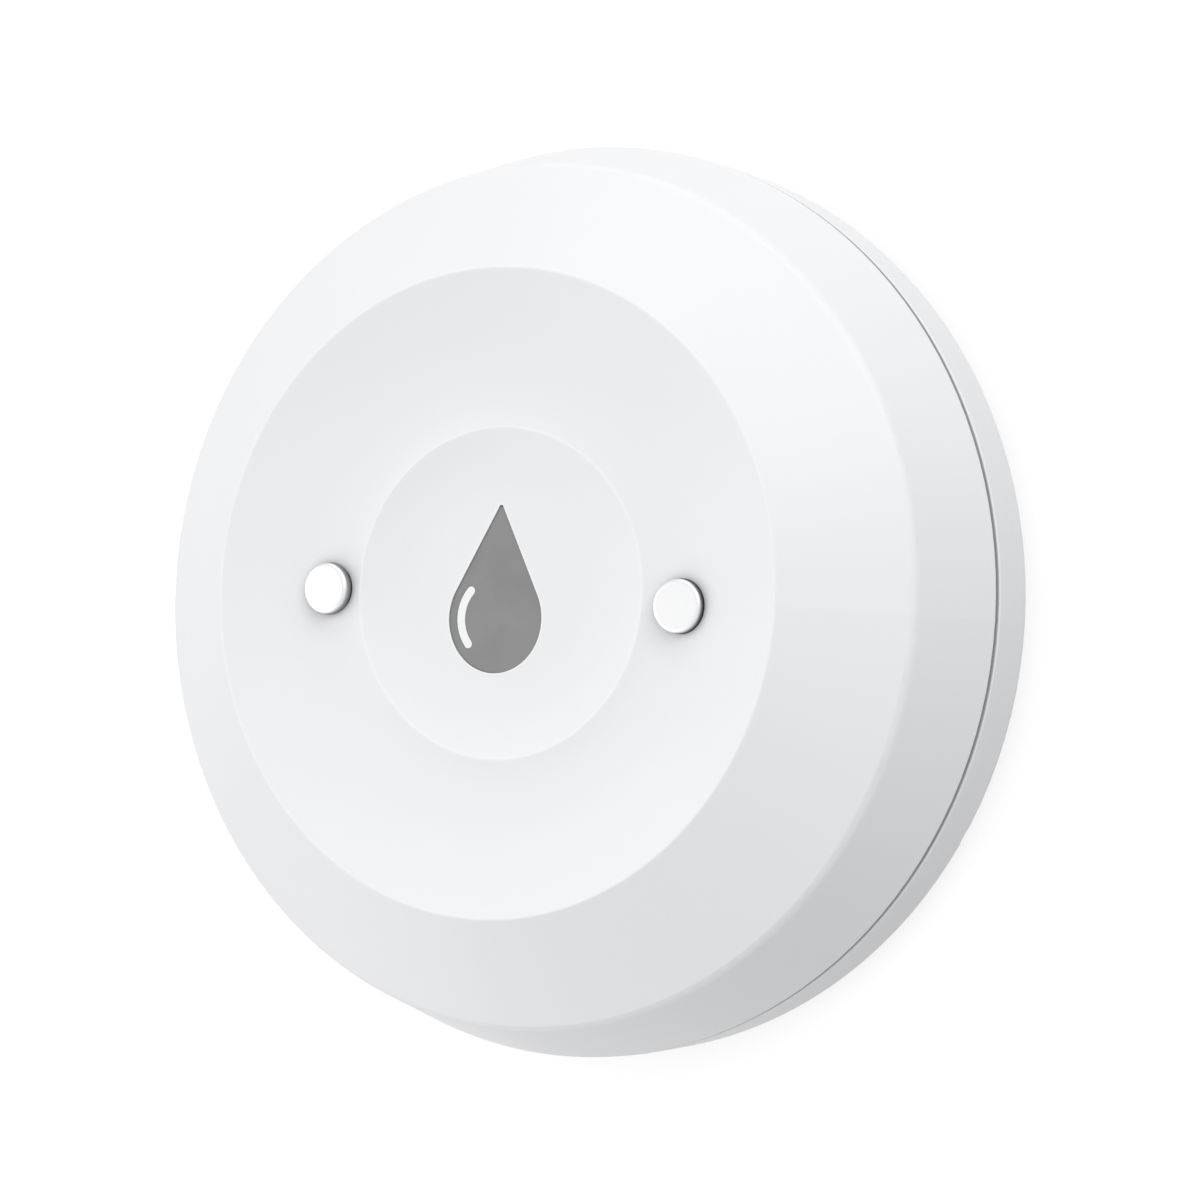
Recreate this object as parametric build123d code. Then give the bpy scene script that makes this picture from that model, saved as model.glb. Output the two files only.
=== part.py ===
from build123d import *
import math
import os

# A round, battery powered water leak sensor that lies flat on the floor.
# Z is the axis of the disc and points up, out of its dished face.
# X points to the right drip probe and Y to the tip of the drop window.
# The origin is on the floor, at the middle of the underside. Millimetres and degrees.

# Outer form of the whole disc
wall_flare = 2.67
shoulder_width = 8.43
edge_drop = 5.05
base_ring_height = 5.905
seam_gap = 0.55
seam_groove_depth = 2.2
base_height = 1.0
base_round = 1.4
edge_blend = 1.0
rim_round = 0.25
seam_edge_round = 0.15

# Dished face: a flat bowl floor, a crease, a shallow trough and a rise to the rim,
# with their places as shares of the rim's radius
bowl_flat_share = 0.276
ridge_share = 0.5134
trough_share = 0.5858
trough_mid_share = 0.774
bowl_edge_slope = 22.0
ridge_outer_slope = 12.0
ridge_round = 0.12
trough_mid_slope = 13.0
rim_inner_slope = 20.5

# Walls
face_wall = 2.0
side_wall = 1.8
floor_wall = 1.8

# Twist fit between the top shell and the base cover
spigot_wall = 1.6
spigot_room = 0.17
seat_width = 3.2
seat_clearance = 0.05
thread_lead = 30.0
lug_count = 4
lug_length = 7.5
lug_thickness = 1.0
lug_reach = 0.95
lug_room = 0.26
lug_clearance = 0.15
lug_side_clearance = 0.3
lug_root = 0.5

# Seal ring on the spigot
ring_section = 1.7
ring_groove_depth = 0.5
ring_clearance = 0.2
ring_bore_gap = 0.4
ring_lift = 0.3

# Circuit board
board_edge = 0.55
board_clearance = 0.4
board_thickness = 1.2
board_lift = 2.6
screw_inset = 3.4
screw_angles = (20.0, 160.0, 200.0, 340.0)
screw_shank_radius = 0.8
screw_end_room = 0.4
screw_head_radius = 1.8
screw_head_height = 1.1
screw_recess_width = 0.6
screw_recess_depth = 0.6
screw_hole_clearance = 0.25
boss_radius = 2.3
pilot_clearance = 0.03

# Round contact probes, the same on the face and on the underside
probe_head_radius = 1.95
probe_head_height = 0.95
probe_head_round = 0.3
probe_stem_radius = 1.0
stem_clearance = 0.04
probe_offset = 1.25
drip_probe_side_shift = 0.25
drip_probe_back_shift = -0.3
probe_boss_radius = 3.4
probe_boss_depth = 0.6
drip_stem_spare = 0.4
stem_room = 1.0
probe_seal_section = 0.44
probe_seal_clearance = 0.05
probe_seal_seat = 0.5
washer_radius = 2.6
washer_thickness = 0.3
nut_width = 4.0
nut_thickness = 1.4
floor_probe_inset = 10.0
floor_probe_angles = (45.0, 135.0)
floor_head_height = 0.75
post_radius = 2.2

# Sprung contact pins between the board and the drip probes
sleeve_radius = 1.25
sleeve_flange_radius = 1.8
sleeve_flange_thickness = 0.6
sleeve_wall = 0.35
sleeve_height = 5.6
pin_travel = 1.0
pin_bottom_room = 0.3
pin_gap = 0.06
pin_clearance = 0.05

# Drop window, with a light guide behind it that shows through its curved slot
drop_offset = -0.72
drop_circle_radius = 4.03
drop_circle_place = -1.9
drop_tip_place = 6.45
drop_tip_radius = 0.25
drop_recess = 0.1
drop_bevel = 0.14
drop_window_thickness = 0.8
drop_fit = 0.03
guide_plate_thickness = 0.6
guide_ledge = 0.6
guide_radius = 1.5
guide_place = 1.5
guide_gap = 0.4
mark_radius = 3.02
mark_start_angle = 139.0
mark_end_angle = 221.0
mark_width = 0.67
mark_fit = 0.03

# Battery: a flat coin cell in a holder with a top clip and a bottom contact
cell_radius = 12.25
cell_height = 5.0
cell_cap_radius = 10.9
cell_cap_height = 0.3
cell_round = 0.35
cell_led_gap = 0.65
holder_clearance = 0.2
holder_wall = 1.0
holder_floor = 0.8
holder_wall_height = 4.0
holder_front_gap = 13.0
holder_grip_gap = 9.0
contact_sheet = 0.3
contact_gap = 0.05
clip_width = 5.0
clip_foot = 1.6
clip_window_width = 2.2
clip_window_length = 12.0
minus_width = 3.6
minus_inner_length = 5.0
minus_foot = 1.2
minus_angle = 35.0

# Radio module with its shield and printed antenna
module_width = 18.0
module_depth = 13.0
module_thickness = 0.8
module_inset = 10.5
shield_width = 11.6
shield_depth = 10.4
shield_height = 1.8
shield_offset = -2.0
shield_round = 0.4
antenna_track = 0.5
antenna_pitch = 1.7
antenna_turns = 6
antenna_width = 3.0
antenna_thickness = 0.1
antenna_inset = 2.6

# Light emitter in the middle of the board
led_width = 3.2
led_depth = 2.8
led_height = 1.0
led_lens_radius = 1.1
led_lens_height = 0.4

# Pairing switch and its plunger
switch_width = 6.0
switch_height = 3.2
switch_inset = 9.0
switch_angle = 147.0
switch_corner = 0.5
button_radius = 1.7
button_height = 1.6
button_sunk = 0.5
button_travel = 0.25
button_clearance = 0.06
button_round = 0.25

# Small parts on the board
chip_width = 4.9
chip_depth = 3.9
chip_height = 1.5
chip_inset = 10.0
chip_angle = 34.0
chip_lift = 0.12
chip_round = 0.2
leg_pitch = 1.27
leg_width = 0.42
leg_reach = 1.05
leg_thickness = 0.2
leg_rows = 4
crystal_width = 4.2
crystal_depth = 2.6
crystal_height = 0.9
crystal_round = 0.3
crystal_gap = 0.5
crystal_shift = 3.0
capacitor_width = 2.8
capacitor_depth = 3.5
capacitor_height = 1.9
capacitor_round = 0.2
capacitor_inset = 7.2
resistor_width = 1.25
resistor_depth = 2.0
resistor_height = 0.5
resistor_round = 0.08
resistor_spacing = 2.6

# Rubber feet under the base cover
foot_radius = 3.6
foot_recess = 0.6
foot_round = 0.35
foot_fit = 0.05
foot_inset = 8.0
foot_angles = (90.0, 210.0, 330.0)

# Shallow bare field on the underside
field_radius = 12.5
field_depth = 0.3

# Every cut runs this far past the face that it opens
overrun = 1.0

# Radii and places that follow, from the coin cell outwards
holder_inner_radius = cell_radius + holder_clearance
holder_outer_radius = holder_inner_radius + holder_wall
led_front = guide_place - led_depth / 2
led_back = guide_place + led_depth / 2
cell_place = led_front - cell_led_gap - holder_outer_radius
board_radius = holder_outer_radius - cell_place + board_edge
spigot_inner_radius = board_radius + board_clearance
spigot_radius = spigot_inner_radius + spigot_wall
ring_groove_radius = spigot_radius - ring_groove_depth
bore_radius = ring_groove_radius + ring_clearance + ring_section + ring_bore_gap
seam_radius = bore_radius + seat_width
edge_radius = seam_radius - wall_flare
rim_radius = edge_radius - shoulder_width
ridge_radius = rim_radius * ridge_share
trough_radius = rim_radius * trough_share
trough_mid_radius = rim_radius * trough_mid_share
bowl_flat_radius = rim_radius * bowl_flat_share
shoulder_radius = seam_radius - seam_groove_depth
probe_place = trough_radius + probe_offset
screw_circle = board_radius - screw_inset
floor_probe_circle = board_radius - floor_probe_inset
foot_circle = seam_radius - foot_inset
module_place = board_radius - module_inset
resistor_row = (led_back + module_place - module_depth / 2) / 2
capacitor_place = board_radius - capacitor_inset
antenna_offset = module_width / 2 - antenna_inset

# Heights that follow, from the floor upwards
floor_top = base_height + floor_wall
board_bottom = floor_top + board_lift
board_top = board_bottom + board_thickness
cell_bottom = board_top + holder_floor
cell_top = cell_bottom + cell_height
clip_bottom = cell_top + contact_gap
clip_top = clip_bottom + contact_sheet
drip_stem_end = clip_top + stem_room
drip_nut_bottom = drip_stem_end + drip_stem_spare
probe_boss_bottom = drip_nut_bottom + nut_thickness + washer_thickness
trough_height = probe_boss_bottom + probe_boss_depth + face_wall
pin_top = drip_stem_end - pin_gap
groove_floor = base_height + base_ring_height
shell_bottom = groove_floor + seam_gap
shoulder_height = shell_bottom - seat_clearance
ring_groove_bottom = shoulder_height + ring_lift
ring_groove_top = ring_groove_bottom + ring_section + 2 * ring_clearance
helix_tilt = math.degrees(math.atan2(thread_lead, 2 * math.pi * (spigot_radius + lug_reach / 2)))
lug_climb = lug_length * math.sin(math.radians(helix_tilt)) / 2
shell_lug_height = ring_groove_top + lug_room + lug_climb + lug_thickness / 2 - ring_clearance
spigot_lug_height = shell_lug_height + lug_thickness + lug_clearance
spigot_height = spigot_lug_height + lug_thickness / 2 + lug_climb + spigot_room

# Each stretch of the face: inner radius, slope there, outer radius, slope there
face_stretches = (
    (bowl_flat_radius, 0.0, ridge_radius, bowl_edge_slope),
    (ridge_radius, -ridge_outer_slope, trough_radius, 0.0),
    (trough_radius, 0.0, trough_mid_radius, trough_mid_slope),
    (trough_mid_radius, trough_mid_slope, rim_radius, rim_inner_slope),
)


def arc_point(start_radius, start_slope, end_radius, end_slope, slope):
    """How far out and up a round stretch has come where it has the given slope."""
    start_sine = math.sin(math.radians(start_slope))
    bend = (end_radius - start_radius) / (math.sin(math.radians(end_slope)) - start_sine)
    out = bend * (math.sin(math.radians(slope)) - start_sine)
    up = bend * (math.cos(math.radians(start_slope)) - math.cos(math.radians(slope)))
    return out, up


def stretch_rise(stretch):
    """Height that one stretch of the face gains from its inner to its outer end."""
    return arc_point(*stretch, stretch[3])[1]


bowl_height = trough_height - stretch_rise(face_stretches[0]) - stretch_rise(face_stretches[1])
face_height = trough_height + stretch_rise(face_stretches[2]) + stretch_rise(face_stretches[3])
edge_height = face_height - edge_drop
side_lean = (seam_radius - edge_radius) / (edge_height - shell_bottom)
cone_lean = edge_drop / (edge_radius - rim_radius)


def disc(radius, bottom, top, x=0, y=0):
    """Upright round block."""
    return Pos(x, y, bottom) * Cylinder(radius, top - bottom, align=(Align.CENTER, Align.CENTER, Align.MIN))


def tube(outer, inner, bottom, top, x=0, y=0):
    """Upright round block with a hole through it."""
    margin = outer - inner
    return disc(outer, bottom, top, x, y) - disc(inner, bottom - margin, top + margin, x, y)


def block(width, depth, bottom, top, x=0, y=0):
    """Upright square block."""
    return Pos(x, y, bottom) * Box(width, depth, top - bottom, align=(Align.CENTER, Align.CENTER, Align.MIN))


def around(radius, angle):
    """Place at a radius and an angle about the axis of the disc."""
    return radius * math.cos(math.radians(angle)), radius * math.sin(math.radians(angle))


def corner(x, z):
    """Point of an outline that stands in the XZ plane."""
    return Vector(x, 0, z)


def group(pieces):
    """Separate solids that share one node."""
    return Compound(children=[solid for piece in pieces for solid in piece.solids()])


def face_curve(drop):
    """Edges of the dished face from the axis to the rim, lowered by the given amount."""
    height = bowl_height - drop
    edges = [Line(corner(0, height), corner(bowl_flat_radius, height))]
    for stretch in face_stretches:
        middle_out, middle_up = arc_point(*stretch, (stretch[1] + stretch[3]) / 2)
        end_up = stretch_rise(stretch)
        start = corner(stretch[0], height)
        middle = corner(stretch[0] + middle_out, height + middle_up)
        end = corner(stretch[2], height + end_up)
        edges.append(ThreePointArc(start, middle, end))
        height += end_up
    return edges


def round_corners(face, places):
    """Round the corners of a flat outline that lie at the given places."""
    for x, z, radius in places:
        vertex = face.vertices().sort_by_distance(corner(x, z))[0]
        face = fillet(vertex, radius)
        face = face if isinstance(face, Sketch) else Sketch(face)
    return face


def lug_ring(inner, outer, middle_height):
    """Short sloping lugs, evenly spaced, that follow the quick thread."""
    reach = outer - inner
    block_form = Box(reach, lug_length, lug_thickness)
    lugs = []
    for number in range(lug_count):
        turn = Rot(0, 0, number * 360 / lug_count)
        lug = turn * Pos(inner + reach / 2, 0, middle_height) * Rot(helix_tilt, 0, 0) * block_form
        lugs.append(lug)
    return lugs


def drop_outline(inset):
    """Outline of the drop, drawn in on all sides by the inset."""
    reach = drop_tip_place - drop_tip_radius - drop_circle_place
    sine = (drop_circle_radius - drop_tip_radius) / reach
    tip_place = drop_tip_place - drop_tip_radius - inset / sine
    side = math.degrees(math.asin(sine))
    belly = drop_circle_radius - inset
    belly_left = Vector(*around(belly, 180 - side)) + Vector(0, drop_circle_place)
    belly_right = Vector(*around(belly, side)) + Vector(0, drop_circle_place)
    tip_left = Vector(*around(drop_tip_radius, 180 - side)) + Vector(0, tip_place)
    tip_right = Vector(*around(drop_tip_radius, side)) + Vector(0, tip_place)
    edges = [
        ThreePointArc(belly_left, Vector(0, drop_circle_place - belly), belly_right),
        Line(belly_right, tip_right),
        ThreePointArc(tip_right, Vector(0, tip_place + drop_tip_radius), tip_left),
        Line(tip_left, belly_left),
    ]
    return Pos(drop_offset, 0) * make_face(edges)


def mark_outline(spread):
    """Outline of the curved highlight in the drop, widened all round by the spread."""
    middle_angle = (mark_start_angle + mark_end_angle) / 2
    place = Vector(0, drop_circle_place)
    arc = ThreePointArc(
        Vector(*around(mark_radius, mark_start_angle)) + place,
        Vector(*around(mark_radius, middle_angle)) + place,
        Vector(*around(mark_radius, mark_end_angle)) + place,
    )
    return Pos(drop_offset, 0) * SlotArc(arc, mark_width + 2 * spread)


def plate(outline, bottom, top):
    """Flat outline raised into a plate."""
    return Pos(0, 0, bottom) * extrude(outline, top - bottom)


def probe(head_height, length):
    """Probe whose head stands on the XY plane and whose stem hangs below it."""
    head = fillet(
        disc(probe_head_radius, 0, head_height).edges().group_by(Axis.Z)[-1],
        probe_head_round,
    )
    return head + disc(probe_stem_radius, -length, 0)


def drip_probe_spot(side):
    """Place of the left or right drip probe, seen from above."""
    return drip_probe_side_shift + side * probe_place, drip_probe_back_shift


def probe_seal():
    """Small round ring that lies under a probe head, below the XY plane."""
    ring_radius = probe_stem_radius + probe_seal_clearance + probe_seal_section / 2
    return Pos(0, 0, -probe_seal_seat / 2) * Torus(ring_radius, probe_seal_section / 2)


def probe_hole(length, above):
    """Cut for one probe, its seal and its head, to be placed like the probe."""
    seat_radius = probe_stem_radius + 2 * probe_seal_clearance + probe_seal_section
    hole = disc(probe_stem_radius + stem_clearance, -length, overrun)
    seat = disc(seat_radius, -probe_seal_seat, overrun)
    head = disc(probe_head_radius + stem_clearance, 0, above)
    return hole + seat + head


def top_shell():
    """Upper housing: dished face, sloping shoulder and flared side wall, open below."""
    side_inner = seam_radius - side_wall
    inner_cone_start = face_height - face_wall
    # The corner inside the shoulder is where the inner side line meets the inner cone line
    cone_apex = inner_cone_start + cone_lean * rim_radius
    inner_edge_radius = (side_inner - side_lean * (cone_apex - shell_bottom)) / (1 - side_lean * cone_lean)
    inner_edge_height = inner_cone_start - cone_lean * (inner_edge_radius - rim_radius)
    bore_top = shell_bottom + (side_inner - bore_radius) / side_lean
    outline = face_curve(0) + [
        Line(corner(rim_radius, face_height), corner(edge_radius, edge_height)),
        Line(corner(edge_radius, edge_height), corner(seam_radius, shell_bottom)),
        Line(corner(seam_radius, shell_bottom), corner(bore_radius, shell_bottom)),
        Line(corner(bore_radius, shell_bottom), corner(bore_radius, bore_top)),
        Line(corner(bore_radius, bore_top), corner(inner_edge_radius, inner_edge_height)),
        Line(corner(inner_edge_radius, inner_edge_height), corner(rim_radius, inner_cone_start)),
    ] + face_curve(face_wall) + [
        Line(corner(0, bowl_height - face_wall), corner(0, bowl_height)),
    ]
    ridge_height = bowl_height + stretch_rise(face_stretches[0])
    rounds = (
        (rim_radius, face_height, rim_round),
        (edge_radius, edge_height, edge_blend),
        (seam_radius, shell_bottom, seam_edge_round),
        (ridge_radius, ridge_height, ridge_round),
    )
    body = revolve(round_corners(make_face(outline), rounds), Axis.Z)
    lug_inner = spigot_radius + lug_side_clearance
    for lug in lug_ring(lug_inner, bore_radius + lug_root, shell_lug_height):
        body += lug
    for side in (-1, 1):
        boss_top = trough_height - face_wall / 2
        body += disc(probe_boss_radius, probe_boss_bottom, boss_top, *drip_probe_spot(side))
        place = Pos(*drip_probe_spot(side), trough_height)
        body -= place * probe_hole(trough_height - probe_boss_bottom + overrun, probe_head_height)
    pocket_bottom = bowl_height - drop_recess - drop_window_thickness - guide_plate_thickness
    body -= plate(drop_outline(-drop_fit), pocket_bottom, bowl_height + overrun)
    body -= plate(drop_outline(guide_ledge), bowl_height - face_wall - overrun, bowl_height)
    bevel = extrude(Pos(0, 0, bowl_height) * drop_outline(-drop_fit - drop_bevel), -drop_bevel, taper=45)
    return body - bevel


def drop_window():
    """Grey drop that lies in the bowl, with a curved slot for the light guide."""
    top = bowl_height - drop_recess
    window = plate(drop_outline(0), top - drop_window_thickness, top)
    return window - plate(mark_outline(mark_fit), top - drop_window_thickness - overrun, top + overrun)


def light_guide():
    """Plate behind the drop window, its curved highlight and its stem down to the light."""
    top = bowl_height - drop_recess
    plate_top = top - drop_window_thickness
    guide = plate(drop_outline(0), plate_top - guide_plate_thickness, plate_top)
    guide += plate(mark_outline(0), plate_top - guide_plate_thickness / 2, top)
    stem_bottom = board_top + led_height + led_lens_height + guide_gap
    stem_top = plate_top - guide_plate_thickness / 2
    return guide + disc(guide_radius, stem_bottom, stem_top, drop_offset, guide_place)


def on_both_sides(piece):
    """The piece set at the left and at the right drip probe."""
    return [Pos(*drip_probe_spot(side), 0) * piece for side in (-1, 1)]


def drip_probes():
    """Two polished probes in the trough of the face."""
    piece = probe(probe_head_height, trough_height - drip_stem_end)
    return group(on_both_sides(Pos(0, 0, trough_height) * piece))


def drip_probe_seals():
    """Rings that keep water out where the drip probes pass the shell."""
    return group(on_both_sides(Pos(0, 0, trough_height) * probe_seal()))


def drip_probe_washers():
    """Flat washers under the nuts of the drip probes."""
    bottom = probe_boss_bottom - washer_thickness
    washer = tube(washer_radius, probe_stem_radius + stem_clearance, bottom, probe_boss_bottom)
    return group(on_both_sides(washer))


def drip_probe_nuts():
    """Six-sided nuts that hold the drip probes inside the shell."""
    outline = RegularPolygon(nut_width / 2, 6, major_radius=False)
    outline -= Circle(probe_stem_radius + stem_clearance)
    return group(on_both_sides(plate(outline, drip_nut_bottom, drip_nut_bottom + nut_thickness)))


def floor_places():
    """Places of the floor probes."""
    return [around(floor_probe_circle, angle) for angle in floor_probe_angles]


def base_cover():
    """Lower cover: floor, rounded outer ring and the spigot that the top shell twists onto."""
    outline = [
        corner(0, base_height),
        corner(seam_radius, base_height),
        corner(seam_radius, groove_floor),
        corner(shoulder_radius, groove_floor),
        corner(shoulder_radius, shoulder_height),
        corner(spigot_radius, shoulder_height),
        corner(spigot_radius, spigot_height),
        corner(spigot_inner_radius, spigot_height),
        corner(spigot_inner_radius, floor_top),
        corner(0, floor_top),
        corner(0, base_height),
    ]
    rounds = (
        (seam_radius, base_height, base_round),
        (seam_radius, groove_floor, seam_edge_round),
    )
    body = revolve(round_corners(make_face(Polyline(*outline)), rounds), Axis.Z)
    body -= tube(spigot_radius + overrun, ring_groove_radius, ring_groove_bottom, ring_groove_top)
    for lug in lug_ring(spigot_radius - lug_root, spigot_radius + lug_reach, spigot_lug_height):
        body += lug
    for angle in screw_angles:
        x, y = around(screw_circle, angle)
        body += disc(boss_radius, floor_top - floor_wall / 2, board_bottom, x, y)
        body -= disc(screw_shank_radius + pilot_clearance, floor_top, board_bottom + overrun, x, y)
    for x, y in floor_places():
        hole = probe_hole(floor_wall + overrun, overrun)
        body -= Pos(x, y, base_height) * Rot(180, 0, 0) * hole
    for angle in foot_angles:
        x, y = around(foot_circle, angle)
        body -= disc(foot_radius + foot_fit, base_height - overrun, base_height + foot_recess, x, y)
    return body - disc(field_radius, base_height - overrun, base_height + field_depth)


def seal_ring():
    """Round rubber ring in the groove of the spigot."""
    ring_radius = ring_groove_radius + ring_clearance + ring_section / 2
    middle = ring_groove_bottom + ring_clearance + ring_section / 2
    return Pos(0, 0, middle) * Torus(ring_radius, ring_section / 2)


def rubber_feet():
    """Three round feet pressed into the underside."""
    feet = []
    for angle in foot_angles:
        foot = disc(foot_radius, 0, base_height + foot_recess)
        foot = fillet(foot.edges().group_by(Axis.Z)[0], foot_round)
        feet.append(Pos(*around(foot_circle, angle), 0) * foot)
    return group(feet)


def floor_probes():
    """Two probes that reach down towards the floor."""
    length = board_bottom - base_height
    piece = Rot(180, 0, 0) * probe(floor_head_height, length)
    return group([Pos(x, y, base_height) * piece for x, y in floor_places()])


def floor_probe_seals():
    """Rings that keep water out where the floor probes pass the base."""
    piece = Rot(180, 0, 0) * probe_seal()
    return group([Pos(x, y, base_height) * piece for x, y in floor_places()])


def floor_probe_posts():
    """Threaded posts that hold the floor probes and carry them to the board."""
    return group([
        tube(post_radius, probe_stem_radius + stem_clearance, floor_top, board_bottom, x, y)
        for x, y in floor_places()
    ])


def circuit_board():
    """Round board on the bosses of the base cover."""
    board = disc(board_radius, board_bottom, board_top)
    for angle in screw_angles:
        x, y = around(screw_circle, angle)
        hole_radius = screw_shank_radius + screw_hole_clearance
        board -= disc(hole_radius, board_bottom - overrun, board_top + overrun, x, y)
    return board


def board_screws():
    """Pan head screws that hold the board, each with a cross recess."""
    screws = []
    for angle in screw_angles:
        head = disc(screw_head_radius, 0, screw_head_height)
        head = fillet(head.edges().group_by(Axis.Z)[-1], screw_head_height / 2)
        recess_bottom = screw_head_height - screw_recess_depth
        for turn in (0, 90):
            slot = block(screw_head_radius, screw_recess_width, recess_bottom, screw_head_height + overrun)
            head -= Rot(0, 0, turn) * slot
        shank_length = board_thickness + board_lift - screw_end_room
        screw = head + disc(screw_shank_radius, -shank_length, 0)
        screws.append(Pos(*around(screw_circle, angle), board_top) * Rot(0, 0, angle) * screw)
    return group(screws)


def battery_cell():
    """Coin cell with its wide can above and its smaller cap below."""
    can = disc(cell_radius, cell_bottom + cell_cap_height, cell_top, 0, cell_place)
    can = fillet(can.edges().group_by(Axis.Z)[-1], cell_round)
    return can + disc(cell_cap_radius, cell_bottom, cell_top - cell_round, 0, cell_place)


def battery_holder():
    """Tray for the coin cell, open at the front and with a gap to push the cell out."""
    floor = disc(holder_outer_radius, board_top, cell_bottom, 0, cell_place)
    wall_top = cell_bottom + holder_wall_height
    wall = tube(holder_outer_radius, holder_inner_radius, cell_bottom, wall_top, 0, cell_place)
    reach = 2 * holder_wall
    for gap, side in ((holder_front_gap, 1), (holder_grip_gap, -1)):
        y = cell_place + side * holder_outer_radius
        wall -= block(gap, 2 * (reach + holder_wall), cell_bottom, wall_top + overrun, 0, y)
    slot = block(holder_outer_radius + overrun, minus_width + 2 * contact_gap, 0, wall_top)
    slot = Rot(0, 0, minus_angle) * Pos((holder_outer_radius + overrun) / 2, 0, 0) * slot
    slot_bottom = cell_bottom - contact_sheet - contact_gap
    whole = floor + wall
    whole -= Pos(0, cell_place, slot_bottom) * slot
    return whole - Pos(0, cell_place, 0) * minus_pocket(slot_bottom)


def minus_pocket(bottom):
    """Room in the tray floor for the inner end of the bottom contact."""
    length = minus_inner_length + contact_gap
    pocket = block(length, minus_width + 2 * contact_gap, bottom, cell_bottom + overrun, -length / 2, 0)
    return Rot(0, 0, minus_angle) * pocket


def battery_plus_clip():
    """Sheet metal bridge that presses on top of the coin cell."""
    inner = holder_outer_radius + contact_gap
    outer = inner + contact_sheet
    foot_length = contact_sheet + clip_foot
    foot_top = board_top + contact_sheet
    clip = block(2 * outer, clip_width, clip_bottom, clip_top)
    clip -= block(clip_window_length, clip_window_width, clip_bottom - overrun, clip_top + overrun)
    for side in (-1, 1):
        clip += block(contact_sheet, clip_width, board_top, clip_top, side * (inner + outer) / 2, 0)
        clip += block(foot_length, clip_width, board_top, foot_top, side * (inner + foot_length / 2), 0)
    return Pos(0, cell_place, 0) * clip


def battery_minus_contact():
    """Sheet metal strip under the coin cell, bent down to the board outside the tray."""
    top = cell_bottom - contact_gap / 2
    bottom = top - contact_sheet
    leg_inner = holder_outer_radius + contact_gap
    leg_outer = leg_inner + contact_sheet
    length = minus_inner_length + leg_outer
    strip = block(length, minus_width, bottom, top, length / 2 - minus_inner_length, 0)
    strip += block(contact_sheet, minus_width, board_top, top, (leg_inner + leg_outer) / 2, 0)
    foot_length = contact_sheet + minus_foot
    foot_top = board_top + contact_sheet
    strip += block(foot_length, minus_width, board_top, foot_top, leg_inner + foot_length / 2, 0)
    return Pos(0, cell_place, 0) * Rot(0, 0, minus_angle) * strip


def radio_module():
    """Small board that carries the radio."""
    return block(module_width, module_depth, board_top, board_top + module_thickness, 0, module_place)


def radio_shield():
    """Pressed metal can over the radio chip."""
    bottom = board_top + module_thickness
    can = block(shield_width, shield_depth, bottom, bottom + shield_height, shield_offset, module_place)
    upright = can.edges().filter_by(Axis.Z)
    top = can.edges().group_by(Axis.Z)[-1]
    return fillet(upright + top, shield_round)


def antenna():
    """Printed track that winds to and fro beside the shield."""
    bottom = board_top + module_thickness
    top = bottom + antenna_thickness
    first = module_place - antenna_pitch * (antenna_turns - 1) / 2
    track = block(antenna_width, antenna_track, bottom, top, antenna_offset, first)
    for number in range(1, antenna_turns):
        y = first + number * antenna_pitch
        side = 1 if number % 2 else -1
        link_x = antenna_offset + side * (antenna_width - antenna_track) / 2
        link_y = y - antenna_pitch / 2
        track += block(antenna_width, antenna_track, bottom, top, antenna_offset, y)
        track += block(antenna_track, antenna_pitch + antenna_track, bottom, top, link_x, link_y)
    return track


def indicator_led():
    """Light emitter that shines up the light guide."""
    body = block(led_width, led_depth, board_top, board_top + led_height, drop_offset, guide_place)
    lens_bottom = board_top + led_height / 2
    lens_top = board_top + led_height + led_lens_height
    lens = disc(led_lens_radius, lens_bottom, lens_top, drop_offset, guide_place)
    return body + fillet(lens.edges().group_by(Axis.Z)[-1], led_lens_height / 2)


def switch_centre():
    """Place of the pairing switch on the board."""
    return around(board_radius - switch_inset, switch_angle)


def switch_top():
    """Height of the top of the pairing switch."""
    return board_top + switch_height


def pairing_switch():
    """Square switch body with a round well for its plunger."""
    body = block(switch_width, switch_width, board_top, switch_top(), *switch_centre())
    body = chamfer(body.edges().filter_by(Axis.Z), switch_corner)
    well_bottom = switch_top() - button_sunk - button_travel - button_clearance
    well_radius = button_radius + button_clearance
    return body - disc(well_radius, well_bottom, switch_top() + overrun, *switch_centre())


def pairing_button():
    """Plunger of the pairing switch."""
    bottom = switch_top() - button_sunk
    plunger = disc(button_radius, bottom, bottom + button_height, *switch_centre())
    return fillet(plunger.edges().group_by(Axis.Z)[-1], button_round)


def contact_sleeves():
    """Two brass sleeves on the board that guide the sprung contact pins."""
    bore = sleeve_radius - sleeve_wall
    sleeve = disc(sleeve_radius, board_top, board_top + sleeve_height)
    sleeve += disc(sleeve_flange_radius, board_top, board_top + sleeve_flange_thickness)
    sleeve -= disc(bore, board_top + sleeve_flange_thickness, board_top + sleeve_height + overrun)
    return group(on_both_sides(sleeve))


def contact_pin(side):
    """Plunger of one sprung contact, just clear of the end of its drip probe."""
    radius = sleeve_radius - sleeve_wall - pin_clearance
    bottom = board_top + sleeve_flange_thickness + pin_travel + pin_bottom_room
    pin = disc(radius, bottom, pin_top, *drip_probe_spot(side))
    return fillet(pin.edges().group_by(Axis.Z)[-1], radius / 2)


def contact_pin_left():
    """Contact pin under the left drip probe."""
    return contact_pin(-1)


def contact_pin_right():
    """Contact pin under the right drip probe."""
    return contact_pin(1)


def chip_centre():
    """Place of the sensing chip on the board."""
    return around(board_radius - chip_inset, chip_angle)


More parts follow.
